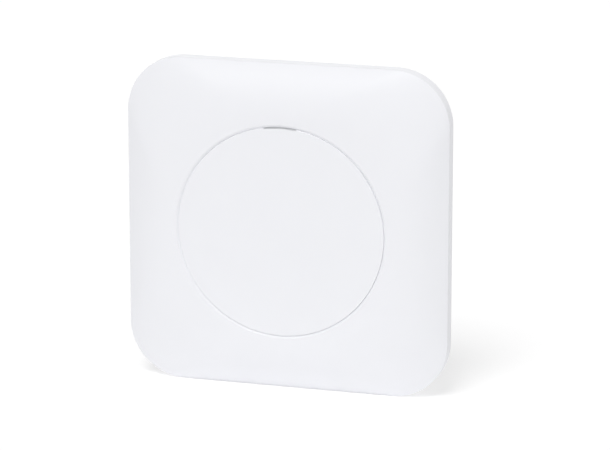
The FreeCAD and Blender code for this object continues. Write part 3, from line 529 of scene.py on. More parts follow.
@dataclass(frozen=True)
class BoardMask:
    """A printed circuit board: green solder mask over copper tracks, vias whose bores are painted
    dark as shade, and a bare rim.
    """

    name: str
    mask: Colour
    over_copper: Colour
    tin: Colour
    laminate: Colour
    half: float
    low: float
    high: float
    pitch: float = 1.1
    track: float = 0.18
    run: float = 11.0
    run_start: float = 0.52
    slant: float = 17.0
    slant_start: float = 0.56
    pour: float = 14.0
    pour_end: float = 0.42
    via_pitch: float = 3.4
    via_spread: float = 0.8
    via_ring: Span = (0.045, 0.1)
    via_metal: float = 0.9
    # the share of the mask colour that the via bores get: painted shade inside the holes
    bore_painted_shade: float = 0.2
    rim: float = 0.8
    rim_share: float = 0.75
    rim_rough: float = 0.3
    weave: float = 0.5
    weave_along: Point = (1.0, 1.0, 0.25)
    weave_share: float = 0.2
    weave_rough: float = 0.12
    roughness: float = 0.34
    copper_depth: float = 0.035

    def make(self) -> bpy.types.Material:
        """Mix the board's surface.

        Returns:
            Its material.
        """
        shader = Surface(self.name)
        x, _, z = shader.axes()
        runs_up = shader.noise(self.run, detail=0.0) > self.run_start
        runs_across = 1.0 - runs_up
        slant = shader.noise(self.slant, detail=0.0) > self.slant_start
        across = runs_up * x + runs_across * z + slant * runs_across * x
        wave = abs(shader.math(Op.FRACT, across / self.pitch) - 0.5)
        pour = shader.noise(self.pour, detail=0.0) < self.pour_end
        copper = shader.math(Op.MAXIMUM, (wave < self.track) * (1.0 - pour), pour)
        hole = shader.cells(self.via_pitch, self.via_spread)
        bore_edge, ring_edge = self.via_ring
        via = (hole < ring_edge) * (hole > bore_edge)
        bore = hole < bore_edge
        beside = abs(x) > self.half - self.rim
        beyond = shader.math(Op.MAXIMUM, z > self.high - self.rim, z < self.low + self.rim)
        bare = shader.math(Op.MAXIMUM, beside, beyond)
        plated = shader.mix(via, shader.mix(copper, self.mask, self.over_copper), self.tin)
        # painted shade: the via bores are coloured dark to stand in for the shadow inside each hole
        bores_painted_dark = shader.mix(bore, plated, shaded(self.mask, self.bore_painted_shade))
        weave = shader.noise(self.weave, detail=1.0, stretch=self.weave_along)
        return shader.principled(
            Base_Color=shader.mix(bare * self.rim_share, bores_painted_dark, self.laminate),
            Metallic=via * self.via_metal,
            Roughness=varied(self.roughness, (weave, self.weave_rough)) + bare * self.rim_rough,
            Normal=shader.bump(weighed(copper, weave, self.weave_share) - bore, self.copper_depth),
        )


@dataclass(frozen=True)
class EpoxyPackage:
    """Black moulded epoxy of a chip, with a matt face and a round mark by its first leg."""

    name: str
    colour: Colour
    marks: tuple[Place, ...]
    mark_radius: float = 0.45
    mark_depth: float = 0.03
    mark_rough: float = 0.25
    roughness: float = 0.55
    filler: float = 0.12
    filler_height: float = 0.1
    filler_rough: float = 0.2
    smear: float = 4.0
    smear_share: float = 0.4
    shades: Span = (0.8, 1.3)

    def make(self) -> bpy.types.Material:
        """Mix the epoxy.

        Returns:
            Its material.
        """
        shader = Surface(self.name)
        filler = shader.noise(self.filler)
        tone = weighed(filler, shader.noise(self.smear), self.smear_share)
        mark = shader.spots(self.marks, self.mark_radius)
        rough = varied(self.roughness, (filler, self.filler_rough))
        return shader.principled(
            Base_Color=shader.shades(tone, self.colour, self.shades),
            Roughness=rough - mark * self.mark_rough,
            Normal=shader.bump(filler * self.filler_height - mark, self.mark_depth),
        )


@dataclass(frozen=True)
class GapPad:
    """Soft silicone pad full of ceramic powder, which carries heat to the sink."""

    name: str
    colour: Colour
    powder: float = 0.35
    powder_range: Span = (0.1, 0.6)
    swell: float = 2.6
    swell_share: float = 0.7
    swell_rough: float = 0.1
    swell_depth: float = 0.02
    roughness: float = 0.82
    shades: Span = (1.15, 0.85)

    def make(self) -> bpy.types.Material:
        """Mix the silicone.

        Returns:
            Its material.
        """
        shader = Surface(self.name)
        powder = shader.cells(self.powder)
        swell = shader.noise(self.swell)
        tone = shader.ramp(powder, *self.powder_range)
        return shader.principled(
            Base_Color=shader.shades(tone, self.colour, self.shades),
            Roughness=varied(self.roughness, (swell, self.swell_rough)),
            Normal=shader.bump(weighed(powder, swell, self.swell_share), self.swell_depth),
        )


@dataclass(frozen=True)
class FerriteBlock:
    """Sintered ferrite with a dull granular skin and paler chipped grains."""

    name: str
    colour: Colour
    grain: float = 0.3
    grain_tone: float = 0.4
    grain_rough: float = 0.2
    chip: float = 1.1
    chip_tone: float = 0.5
    chip_range: Span = (0.62, 0.7)
    shades: Span = (1.0, 2.4)
    roughness: float = 0.62
    chip_depth: float = 0.015

    def make(self) -> bpy.types.Material:
        """Mix the ferrite.

        Returns:
            Its material.
        """
        shader = Surface(self.name)
        grain = shader.noise(self.grain, detail=3.0)
        chips = shader.ramp(shader.noise(self.chip), *self.chip_range)
        tone = chips * self.chip_tone + grain * self.grain_tone
        return shader.principled(
            Base_Color=shader.shades(tone, self.colour, self.shades),
            Roughness=varied(self.roughness, (grain, self.grain_rough)),
            Normal=shader.bump(grain - chips, self.chip_depth),
        )


@dataclass(frozen=True)
class CapacitorCan:
    """Drawn aluminium can with a dark polarity mark over a third of its end."""

    name: str
    colour: Colour
    mark: Colour
    middles: tuple[Place, ...]
    radius: float
    mark_start: float = 0.4
    mark_end: float = 1.1
    mark_rough: float = 0.2
    drawn: float = 0.1
    drawn_along: Point = (1.0, 0.08, 1.0)
    drawn_depth: float = 0.001
    drawn_rough: float = 0.12
    stain: float = 2.0
    stain_share: float = 0.5
    roughness: float = 0.32
    shades: Span = (0.88, 1.06)

    def make(self) -> bpy.types.Material:
        """Mix the cans' metal and print.

        Returns:
            Their material.
        """
        shader = Surface(self.name)
        x, _, z = shader.axes()
        drawn = shader.noise(self.drawn, stretch=self.drawn_along)
        tone = weighed(drawn, shader.noise(self.stain), self.stain_share)
        start, end = self.radius * self.mark_start, self.radius * self.mark_end
        marked: Number = 0.0
        for middle_x, middle_z in self.middles:
            beside = (x - middle_x > start) * (abs(z - middle_z) < end)
            marked = beside * (x - middle_x < end) + marked
        bright = shader.shades(tone, self.colour, self.shades)
        return shader.principled(
            Base_Color=shader.mix(marked, bright, self.mark),
            Metallic=1.0 - marked,
            Roughness=varied(self.roughness, (drawn, self.drawn_rough)) + marked * self.mark_rough,
            Normal=shader.bump(drawn, self.drawn_depth),
        )


@dataclass(frozen=True)
class DiodeLens:
    """White diode package with a yellow phosphor window in its middle."""

    name: str
    body: Colour
    phosphor: Colour
    middles: tuple[Place, ...]
    window: float = 0.55
    window_rough: float = 0.2
    powder: float = 0.08
    powder_depth: float = 0.002
    powder_rough: float = 0.1
    roughness: float = 0.42
    shades: Span = (0.85, 1.1)

    def make(self) -> bpy.types.Material:
        """Mix the diodes' body and window.

        Returns:
            Their material.
        """
        shader = Surface(self.name)
        powder = shader.noise(self.powder)
        window = shader.spots(self.middles, self.window)
        yellow = shader.shades(powder, self.phosphor, self.shades)
        rough = self.roughness - window * self.window_rough
        return shader.principled(
            Base_Color=shader.mix(window, self.body, yellow),
            Roughness=varied(rough, (powder, self.powder_rough)),
            Normal=shader.bump(powder, self.powder_depth),
        )


@dataclass(frozen=True)
class LabelFilm:
    """Matt silver polyester film with a plain keyline and nothing printed inside it."""

    name: str
    film: Colour
    line: Colour
    half: float
    low: float
    high: float
    inset: float = 1.6
    width: float = 0.3
    metal: float = 0.35
    brush: float = 0.1
    brush_along: Point = (0.04, 1.0, 1.0)
    brush_rough: float = 0.15
    ripple: float = 9.0
    ripple_share: float = 0.95
    ripple_depth: float = 0.02
    roughness: float = 0.42
    shades: Span = (0.93, 1.05)

    def make(self) -> bpy.types.Material:
        """Mix the film with its keyline.

        Returns:
            Its material.
        """
        shader = Surface(self.name)
        x, _, z = shader.axes()
        beyond = (self.high - self.low) / 2 - abs(z - (self.low + self.high) / 2)
        edge = shader.math(Op.MINIMUM, self.half - abs(x), beyond)
        keyline = abs(edge - self.inset) < self.width / 2
        brushed = shader.noise(self.brush, stretch=self.brush_along)
        ripple = shader.noise(self.ripple, detail=1.0)
        silver = shader.shades(brushed, self.film, self.shades)
        return shader.principled(
            Base_Color=shader.mix(keyline, silver, self.line),
            Metallic=self.metal - keyline * self.metal,
            Roughness=varied(self.roughness, (brushed, self.brush_rough)),
            Normal=shader.bump(weighed(brushed, ripple, self.ripple_share), self.ripple_depth),
        )


@dataclass(frozen=True)
class LightTable:
    """The plain white table top, lit faintly from beneath. It can't be seen from underneath."""

    name: str
    colour: Colour
    glow: float = 0.18
    lift: float = 0.42

    def make(self) -> bpy.types.Material:
        """Mix the table top. Lift is the share of plain white in view, which keeps shadows soft.

        Returns:
            Its material.
        """
        shader = Surface(self.name)
        card = shader.socket("ShaderNodeBsdfDiffuse", None, {"Color": (*self.colour, 1.0)})
        lamp = shader.glow(Glow.SURFACE, self.glow)
        table = shader.socket("ShaderNodeAddShader", None, {0: card, 1: lamp})
        lift = shader.white_to_view() * self.lift
        seen = shader.blend(lift, table, shader.glow(Glow.SURFACE))
        behind = shader.value("ShaderNodeNewGeometry", output="Backfacing")
        clear = shader.socket("ShaderNodeBsdfTransparent")
        shader.finish(shader.blend(behind, seen, clear))
        return shader.material


# ---------------------------------------------------------------- drawing

WELD = 0.0005 * MM
SMOOTH_BELOW = math.radians(35.0)

Profile = Sequence[tuple[float, float]]


def upright(points: np.ndarray) -> np.ndarray:
    """Points drawn lying down, in millimetres, as upright points of the frame, in metres."""
    return np.stack((points[..., 0], -points[..., 2], points[..., 1]), axis=-1) * MM


def level_row(angles: np.ndarray, radii: np.ndarray, depth: float) -> np.ndarray:
    """Points at one depth, at a distance from the middle in each direction."""
    across, up = radii * np.cos(angles), radii * np.sin(angles)
    return np.stack((across, up, np.full_like(angles, depth)), axis=-1)


@dataclass(frozen=True)
class Ring:
    """A level line round the middle: a rounded square, or a circle where corner equals half."""

    half: float
    corner: float
    depth: float

    @classmethod
    def circle(cls, radius: float, depth: float) -> "Ring":
        """A round ring."""
        return cls(radius, radius, depth)

    def points(self, angles: np.ndarray) -> np.ndarray:
        """Work out where the line passes.

        Args:
            angles: The directions in which it is wanted.

        Returns:
            The line's point in each direction.
        """
        across, up = np.abs(np.cos(angles)), np.abs(np.sin(angles))
        longer, shorter = np.maximum(across, up), np.minimum(across, up)
        land = self.half - self.corner
        along = land * (across + up)
        arc = along + np.sqrt(np.maximum(along**2 - 2 * land**2 + self.corner**2, 0.0))
        straight = self.half / longer
        return level_row(angles, np.where(straight * shorter <= land, straight, arc), self.depth)


@dataclass(frozen=True)
class Turn:
    """A corner of a profile turned into an arc from one direction to another."""

    radius: float
    steps: int

    def points(self, middle: Place, start: float, end: float) -> Iterator[tuple[float, float]]:
        """Divide the arc.

        Args:
            middle: The arc's middle in the plane of the profile.
            start: The direction of its first point.
            end: The direction of its last point.

        Returns:
            The arc's points in order.
        """
        for step in range(self.steps + 1):
            angle = start + (end - start) * step / self.steps
            out, up = self.radius * math.cos(angle), self.radius * math.sin(angle)
            yield middle[0] + out, middle[1] + up


class Draft:
    """The points and faces of one piece while it is drawn."""

    def __init__(self) -> None:
        """Start with nothing drawn."""
        self.points: list[np.ndarray] = []
        self.faces: list[tuple[int, ...]] = []
        self.count = 0

    def add(self, points: np.ndarray, faces: Sequence[tuple[int, ...]]) -> None:
        """Add points and the faces between them.

        Args:
            points: One row of x, y and depth for each point, in millimetres.
            faces: Each face's points, counted from the first of these points.
        """
        self.points.append(points)
        self.faces += [tuple(self.count + index for index in face) for face in faces]
        self.count += len(points)

    def weave(
        self,
        grid: np.ndarray,
        left_out: Sequence[tuple[int, int]] = (),
        tunnel: Sequence[tuple] = (),
    ) -> None:
        """Add quads between the rows of a grid, whose last row and column meet its first.

        Args:
            grid: Points by row and column.
            left_out: The (row, column) of each quad that isn't made.
            tunnel: Extra quads, each of four (row, column) pairs.
        """
        rows, columns = grid.shape[:2]
        skipped = set(left_out)

        def index(row: int, column: int) -> int:
            """The number of the point in that row and column."""
            return (row % rows) * columns + column % columns

        quads = [
            ((row, column), (row, column + 1), (row + 1, column + 1), (row + 1, column))
            for row in range(rows)
            for column in range(columns)
            if (row, column) not in skipped
        ]
        faces = [tuple(index(*corner) for corner in quad) for quad in (*quads, *tunnel)]
        self.add(grid.reshape(-1, 3), faces)

    def turned(self, profile: Profile, x: float, y: float, sides: int) -> None:
        """Add a ring turned about a line that points into the room.

        Args:
            profile: Its closed section as (radius, depth) points, in order.
            x: The line's place to the right.
            y: The line's place towards the top edge.
            sides: How many sides the ring has.
        """
        angles = np.linspace(0.0, FULL_TURN, sides, endpoint=False)
        rows = [level_row(angles, radius, depth) for radius, depth in profile]
        self.weave(np.array(rows) + (x, y, 0.0))

    def bar(self, outline: Profile, half: float, angle: float) -> None:
        """Add a straight bar across a spoke.

        Args:
            outline: Its section as (distance from the middle, depth) points, in order.
            half: Half its width across the spoke.
            angle: The spoke's direction.
        """
        section = np.array(outline)
        spoke = np.array((math.cos(angle), math.sin(angle)))
        across = np.array((-math.sin(angle), math.cos(angle)))
        ends = [
            np.column_stack((section[:, :1] * spoke + side * half * across, section[:, 1]))
            for side in (-1, 1)
        ]
        count = len(section)
        faces = [(i, (i + 1) % count, count + (i + 1) % count, count + i) for i in range(count)]
        faces += [tuple(range(count)), tuple(range(count, 2 * count))]
        self.add(np.concatenate(ends), faces)

    def piece(self, name: str) -> bpy.types.Object:
        """Make the object.

        Args:
            name: The piece's name.

        Returns:
            The piece, in its place in the frame.
        """
        mesh = bpy.data.meshes.new(name)
        mesh.from_pydata(upright(np.concatenate(self.points)).tolist(), [], self.faces)
        made = bmesh.new()
        made.from_mesh(mesh)
        bmesh.ops.remove_doubles(made, verts=made.verts, dist=WELD)
        bmesh.ops.dissolve_degenerate(made, edges=made.edges, dist=WELD)
        bmesh.ops.recalc_face_normals(made, faces=made.faces)
        for face in made.faces:
            face.smooth = True
        for edge in made.edges:
            edge.smooth = edge.is_manifold and edge.calc_face_angle(0.0) < SMOOTH_BELOW
        made.to_mesh(mesh)
        made.free()
        piece = bpy.data.objects.new(name, mesh)
        bpy.context.scene.collection.objects.link(piece)
        return piece


# ---------------------------------------------------------------- construction pieces


def dress(material: bpy.types.Material, *nodes: str) -> Iterator[str]:
    """Give construction pieces their finish.

    Args:
        material: The finish.
        *nodes: The pieces' names.

    Returns:
        Each piece's name, once the piece is dressed.
    """
    for node in nodes:
        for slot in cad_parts[node].material_slots:
            slot.link = "OBJECT"
            slot.material = material
        yield node


def lying_box(node: str) -> tuple[Point, Point]:
    """The lowest and highest x, y and depth of a construction piece, in millimetres."""
    low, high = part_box(node)
    return (low.x / MM, low.z / MM, -high.y / MM), (high.x / MM, high.z / MM, -low.y / MM)


def middles(node: str, pieces: int) -> tuple[Place, ...]:
    """Find the equal pieces that a construction node holds side by side.

    Args:
        node: The node's name.
        pieces: How many pieces it holds.

    Returns:
        The x and y of each piece's middle, from left to right.
    """
    low, high = lying_box(node)
    width = high[1] - low[1]
    first, last = low[0] + width / 2, high[0] - width / 2
    step = (last - first) / max(1, pieces - 1)
    return tuple((first + step * number, (low[1] + high[1]) / 2) for number in range(pieces))


# ---------------------------------------------------------------- sub-assemblies

WARM_WHITE: Colour = (0.86, 0.865, 0.896)
SHELL_WHITE: Colour = (0.80, 0.805, 0.83)
SOFT_BLACK: Colour = (0.022, 0.022, 0.024)


@dataclass
class LightSlit:
    """The notch and slot that the light guide's blade stands in, at the top of the ring groove."""

    half_angle: float = math.radians(9.1)
    inner: float = 63.25
    outer: float = 63.95
    slack: float = 1e-9

    def columns(self, count: int, doubled: bool) -> np.ndarray:
        """Choose directions round the middle, with one exactly at each end of the slit.

        Args:
            count: How many directions there are, evenly spread but for those two.
            doubled: Whether each end of the slit has two columns, for a wall across the rings.

        Returns:
            The directions in rising order.
        """
        angles = np.linspace(0.0, FULL_TURN, count, endpoint=False)
        for end in (QUARTER - self.half_angle, QUARTER + self.half_angle):
            angles[np.argmin(np.abs(angles - end))] = end
            if doubled:
                angles = np.append(angles, end)
        return np.sort(angles)

    def ends(self, angles: np.ndarray) -> tuple[int, int]:
        """The first and the last column that touch the slit."""
        within = np.abs(angles - QUARTER) <= self.half_angle + self.slack
        return tuple(np.flatnonzero(within)[[0, -1]])

    def inside(self, angles: np.ndarray) -> np.ndarray:
        """Which columns lie in the slit. Of two at one end, the one nearer its middle does."""
        (first, last), numbers = self.ends(angles), np.arange(len(angles))
        return (numbers > first) & (numbers < last)


@dataclass
class FrontCover:
    """The crowned square cover: its rim, crease, crown, round hole and the seat round the hole.

    The light guide's slot is cut between each seat ring that slot_rows counts, from 0, and the next:
    once on the seat's front and once on its back. The crown's first ring lies crown_start times the
    crease's reach from the crease.
    """

    half: float
    back: float
    slit: LightSlit
    corner: float = 34.0
    crease: float = 20.0
    rise: float = 14.0
    land_half: float = 68.0
    land_corner: float = 62.0
    wall: float = 2.2
    back_turn: Turn = Turn(0.5, 4)
    crease_turn: Turn = Turn(1.0, 8)
    hole: float = 64.0
    groove_width: float = 1.5
    groove_depth: float = 0.8
    lip_turn: Turn = Turn(0.4, 4)
    throat_turn: Turn = Turn(0.15, 3)
    seat_hole: float = 58.0
    seat_wall: float = 2.0
    seat_sink: float = 0.1
    slot_rows: tuple[int, int] = (1, 5)
    boss_place: float = 70.0
    boss_radius: float = 4.6
    boss_bore: float = 1.45
    boss_end: float = 13.5
    bore_end: float = 21.05
    boss_root: float = 28.4
    boss_sides: int = 32
    columns: int = 360
    wall_shares: tuple[float, ...] = (0.25, 0.5, 0.75)
    crown_start: float = 1.6
    crown_steps: int = 34
    flat_shares: tuple[float, ...] = (0.35, 0.7, 0.9)
    hollow_reach: float = 0.94
    hollow_steps: int = 16
    finish: MouldedPlastic = MouldedPlastic("cover_white_moulded", WARM_WHITE, roughness=0.47)

    @property
    def plane(self) -> float:
        """Depth of the flat ring round the hole."""
        return self.crease + self.rise

    def crown_ring(self, share: float, inset: float = 0.0) -> Ring:
        """Find a line of the crown.

        Args:
            share: How far it is from the crease, at 0, to the flat ring, at 1.
            inset: How far it is drawn in from the crown's face.

        Returns:
            The line.
        """
        half = self.half + (self.land_half - self.half) * share
        corner = self.corner + (self.land_corner - self.corner) * share
        depth = self.crease + self.rise * (1 - (1 - share) ** 2)
        return Ring(half - inset, corner - inset, depth - inset)

    def outside(self) -> Iterator[Ring]:
        """Find the rings that face the room, but for the flat ring's.

        Returns:
            The rings from the back edge to the end of the crown.
        """
        rim = self.back_turn.radius
        wall_start = self.back + rim
        for out, depth in self.back_turn.points((self.half - rim, wall_start), -QUARTER, 0.0):
            yield Ring(out, self.corner - self.half + out, depth)
        span = self.half - self.land_half
        slope = math.atan2(2 * self.rise, span)
        reach = self.crease_turn.radius * math.tan((QUARTER - slope) / 2)
        wall_end = self.crease - reach
        for share in self.wall_shares:
            yield Ring(self.half, self.corner, wall_start + (wall_end - wall_start) * share)
        crease_middle = (self.half - self.crease_turn.radius, wall_end)
        for out, depth in self.crease_turn.points(crease_middle, 0.0, QUARTER - slope):
            share = (self.half - out) / span
            yield Ring(out, self.corner + (self.land_corner - self.corner) * share, depth)
        first = self.crown_start * reach * math.cos(slope) / span
        for step in range(self.crown_steps + 1):
            yield self.crown_ring(first + (1 - first) * step / self.crown_steps)

    @property
    def groove_fall(self) -> float:
        """The angle by which the groove's side falls from the flat ring."""
        return math.atan2(self.groove_depth, self.groove_width)

    @property
    def lip(self) -> float:
        """Radius at which the flat ring starts to turn down into the groove."""
        return self.hole + self.groove_width + self.lip_turn.radius * math.tan(self.groove_fall / 2)

    def groove_rings(self) -> Iterator[Ring]:
        """Find the rings of the groove's side.

        Returns:
            The rings from its rounded lip down to the wall of the hole.
        """
        fall = QUARTER + self.groove_fall
        throat = self.throat_turn.radius
        throat_depth = self.plane - self.groove_depth - throat * math.tan((HALF_TURN - fall) / 2)
        lip_middle = (self.lip, self.plane - self.lip_turn.radius)
        throat_middle = (self.hole + throat, throat_depth)
        for radius, depth in self.lip_turn.points(lip_middle, QUARTER, fall):
            yield Ring.circle(radius, depth)
        for radius, depth in self.throat_turn.points(throat_middle, fall, HALF_TURN):
            yield Ring.circle(radius, depth)

    def seat_rings(self) -> Iterator[Ring]:
        """Find the rings of the seat.

        Returns:
            The rings from the foot of the hole's wall in to the seat's edge and back under it.
        """
        seat_front = self.plane - self.wall
        for radius in (self.hole, self.slit.outer, self.slit.inner, self.seat_hole):
            yield Ring.circle(radius, seat_front)
        for radius in (self.seat_hole, self.slit.inner, self.slit.outer, self.hole + self.wall):
            yield Ring.circle(radius, seat_front - self.seat_wall)
        yield Ring.circle(self.hole + self.wall, seat_front - self.seat_sink)

    def inside(self) -> Iterator[Ring]:
        """Find the rings of the hollow side.

        Returns:
            The rings from beside the seat to the back edge.
        """
        for step in range(self.hollow_steps + 1):
            yield self.crown_ring(self.hollow_reach * (1 - step / self.hollow_steps), self.wall)
        yield Ring(self.half - self.wall, self.corner - self.wall, self.back)

    def flat_rows(self, crown_end: np.ndarray, lip: np.ndarray) -> Iterator[np.ndarray]:
        """Rows of points between the end of the crown and the lip, at shares of the way."""
        for share in self.flat_shares:
            yield crown_end + (lip - crown_end) * share

    def draw(self) -> bpy.types.Object:
        """Draw the cover's skin with its slot and screw columns.

        Returns:
            The skin.
        """
        angles = self.slit.columns(self.columns, doubled=False)
        first, last = self.slit.ends(angles)
        rows = [ring.points(angles) for ring in self.outside()]
        rows += self.flat_rows(rows[-1], Ring.circle(self.lip, self.plane).points(angles))
        rows += [ring.points(angles) for ring in self.groove_rings()]
        front, back = (len(rows) + row for row in self.slot_rows)
        rows += [ring.points(angles) for ring in (*self.seat_rings(), *self.inside())]
        holes = [(row, column) for row in (front, back) for column in range(first, last)]
        walls = [
            ((row, column), (row, column + 1), (below, column + 1), (below, column))
            for row, below in ((front, back + 1), (front + 1, back))
            for column in range(first, last)
        ]
        walls += [
            ((front, end), (front + 1, end), (back, end), (back + 1, end)) for end in (first, last)
        ]
        draft = Draft()
        draft.weave(np.array(rows), holes, walls)
        boss = (
            (self.boss_bore, self.boss_end),
            (self.boss_radius, self.boss_end),
            (self.boss_radius, self.boss_root),
            (0.0, self.boss_root),
            (0.0, self.bore_end),
            (self.boss_bore, self.bore_end),
        )
        for x in (-self.boss_place, self.boss_place):
            for y in (-self.boss_place, self.boss_place):
                draft.turned(boss, x, y, self.boss_sides)
        return draft.piece("front_cover_skin")

    def build(self) -> Iterator[str]:
        """Draw the cover in place of its construction piece and dress it.

        Returns:
            The skin's name, once it is made.
        """
        skin = self.draw()
        skin.data.materials.append(self.finish.make())
        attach(skin, "access_point")
        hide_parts("front_cover")
        yield skin.name


@dataclass
class CentreCover:
    """The domed round cover inside the ring groove, with its snap hooks."""

    slit: LightSlit
    top: float
    radius: float = 63.95
    rise: float = 1.2
    edge_turn: Turn = Turn(0.5, 5)
    back: float = 31.8
    hollow: float = 58.0
    hollow_depth: float = 0.8
    hook_outside: float = 57.7
    hook_wall: float = 1.8
    hook_reach: float = 1.4
    hook_lead: float = 0.5
    hook_half: float = 4.0
    hook_back: float = 27.7
    seat_back: float = 29.5
    hooks: int = 6
    columns: int = 360
    dome_steps: int = 16
    finish: MouldedPlastic = MouldedPlastic("disc_white_moulded", WARM_WHITE, roughness=0.40)

    def dome_depth(self, radius: float) -> float:
        """Depth of the dome's face at a distance from the middle."""
        ball = (self.radius**2 + self.rise**2) / (2 * self.rise)
        return self.top - ball + math.sqrt(ball**2 - radius**2)

    def rings(self) -> Iterator[tuple[float, float]]:
        """Find the cover's rings.

        Returns:
            Radius and depth of each, from the dome's middle over its edge to the back's middle.
        """
        for step in range(self.dome_steps + 1):
            radius = self.slit.inner * step / self.dome_steps
            yield radius, self.dome_depth(radius)
        shoulder = self.radius - self.edge_turn.radius
        turn_middle = (shoulder, self.dome_depth(shoulder) - self.edge_turn.radius)
        yield from self.edge_turn.points(turn_middle, QUARTER, 0.0)
        for radius in (self.radius, self.slit.inner, self.hollow):
            yield radius, self.back
        for radius in (self.hollow, 0.0):
            yield radius, self.back + self.hollow_depth

    def hook(self) -> Profile:
        """Find a hook's section.

        Returns:
            Its (distance from the middle, depth) points, in order.
        """
        inner = self.hook_outside - self.hook_wall
        tip = self.hook_outside + self.hook_reach
        front = self.back + self.hollow_depth + self.hook_wall / 2
        return (
            (inner, front),
            (inner, self.hook_back),
            (tip - self.hook_lead, self.hook_back),
            (tip, self.hook_back + self.hook_lead),
            (tip, self.seat_back),
            (self.hook_outside, self.seat_back),
            (self.hook_outside, front),
        )

    def draw(self) -> bpy.types.Object:
        """Draw the cover's skin with its notch and hooks.

        Returns:
            The skin.
        """
        angles = self.slit.columns(self.columns, doubled=True)
        notched = self.slit.inside(angles)
        rows = [
            level_row(angles, np.where(notched, min(radius, self.slit.inner), radius), depth)
            for radius, depth in self.rings()
        ]
        draft = Draft()
        draft.weave(np.array(rows))
        for number in range(self.hooks):
            draft.bar(self.hook(), self.hook_half, FULL_TURN * number / self.hooks)
        return draft.piece("centre_cover_skin")

    def build(self) -> Iterator[str]:
        """Draw the cover in place of its construction piece and dress it.

        Returns:
            The skin's name, once it is made.
        """
        skin = self.draw()
        skin.data.materials.append(self.finish.make())
        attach(skin, "access_point")
        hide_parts("centre_cover")
        yield skin.name


@dataclass
class LightPath:
    """The diodes on the board and the guide that carries their light to the slit."""

    guide: FrostedGuide = FrostedGuide("guide_frosted", (0.78, 0.79, 0.81))
    diode_body: Colour = (0.8, 0.79, 0.76)
    phosphor: Colour = (0.82, 0.62, 0.12)
    diodes: int = 2

    def build(self) -> Iterator[str]:
        """Dress the guide and the diodes.

        Returns:
            Each piece's name, once it is dressed.
        """
        yield from dress(self.guide.make(), "light_guide")
        places = middles("status_leds", self.diodes)
        lens = DiodeLens("diode_white", self.diode_body, self.phosphor, places)
        yield from dress(lens.make(), "status_leds")


@dataclass
class RearShell:
    """The tray behind the cover, with its screws, studs and label."""

    shell: MouldedPlastic = MouldedPlastic(
        "rear_white_moulded",
        SHELL_WHITE,
        roughness=0.55,
        grain=0.8,
        grain_depth=0.012,
        shade=0.012,
    )
    steel: MachinedSteel = MachinedSteel("screw_steel_plated", (0.62, 0.62, 0.60))
    label: Colour = (0.72, 0.73, 0.74)
    keyline: Colour = (0.2, 0.2, 0.21)

    def build(self) -> Iterator[str]:
        """Dress the shell and what is fixed to it.

        Returns:
            Each piece's name, once it is dressed.
        """
        yield from dress(self.shell.make(), "rear_shell")
        yield from dress(self.steel.make(), "case_screws", "bayonet_studs", "board_screws")
        low, high = lying_box("rating_label")
        film = LabelFilm("label_film", self.label, self.keyline, high[0], low[1], high[1])
        yield from dress(film.make(), "rating_label")


@dataclass
class CeilingBracket:
    """The plate that is screwed to the ceiling and turns onto the studs."""

    plate: MouldedPlastic = MouldedPlastic(
        "bracket_white_moulded",
        (0.74, 0.745, 0.76),
        roughness=0.5,
        grain=0.6,
        grain_depth=0.01,
        shade=0.012,
    )

    def build(self) -> Iterator[str]:
        """Dress the bracket."""
        yield from dress(self.plate.make(), "ceiling_bracket")


@dataclass
class PortBay:
    """The jack, the power inlet and the reset button, with all that is of the same tin plate."""

    black: MouldedPlastic = MouldedPlastic(
        "port_black_moulded",
        SOFT_BLACK,
        roughness=0.42,
        grain=0.3,
        grain_depth=0.006,
        shade=0.2,
        speck_share=0.4,
    )
    grey: MouldedPlastic = MouldedPlastic(
        "button_grey_moulded", (0.33, 0.34, 0.36), roughness=0.4, grain=0.3, shade=0.03
    )
    tin: RolledMetal = RolledMetal("tin_plated_sheet", (0.74, 0.73, 0.70))
    gold: RolledMetal = RolledMetal(
        "contact_gold_plated", (0.94, 0.72, 0.34), roughness=0.2, line=0.05, line_depth=0.0006
    )

    def build(self) -> Iterator[str]:
        """Dress the sockets, the button, the antennas and the radio shields.

        Returns:
            Each piece's name, once it is dressed.
        """
        tin = self.tin.make()
        yield from dress(tin, "ethernet_jack_shell", "dc_jack_pin")
        yield from dress(tin, "antennas_24ghz", "antennas_5ghz")
        yield from dress(tin, "radio_shield_left", "radio_shield_right")
        black = self.black.make()
        yield from dress(black, "ethernet_jack_insert", "dc_jack", "reset_switch", "reset_plunger")
        yield from dress(self.gold.make(), "ethernet_contacts")
        yield from dress(self.grey.make(), "reset_button")


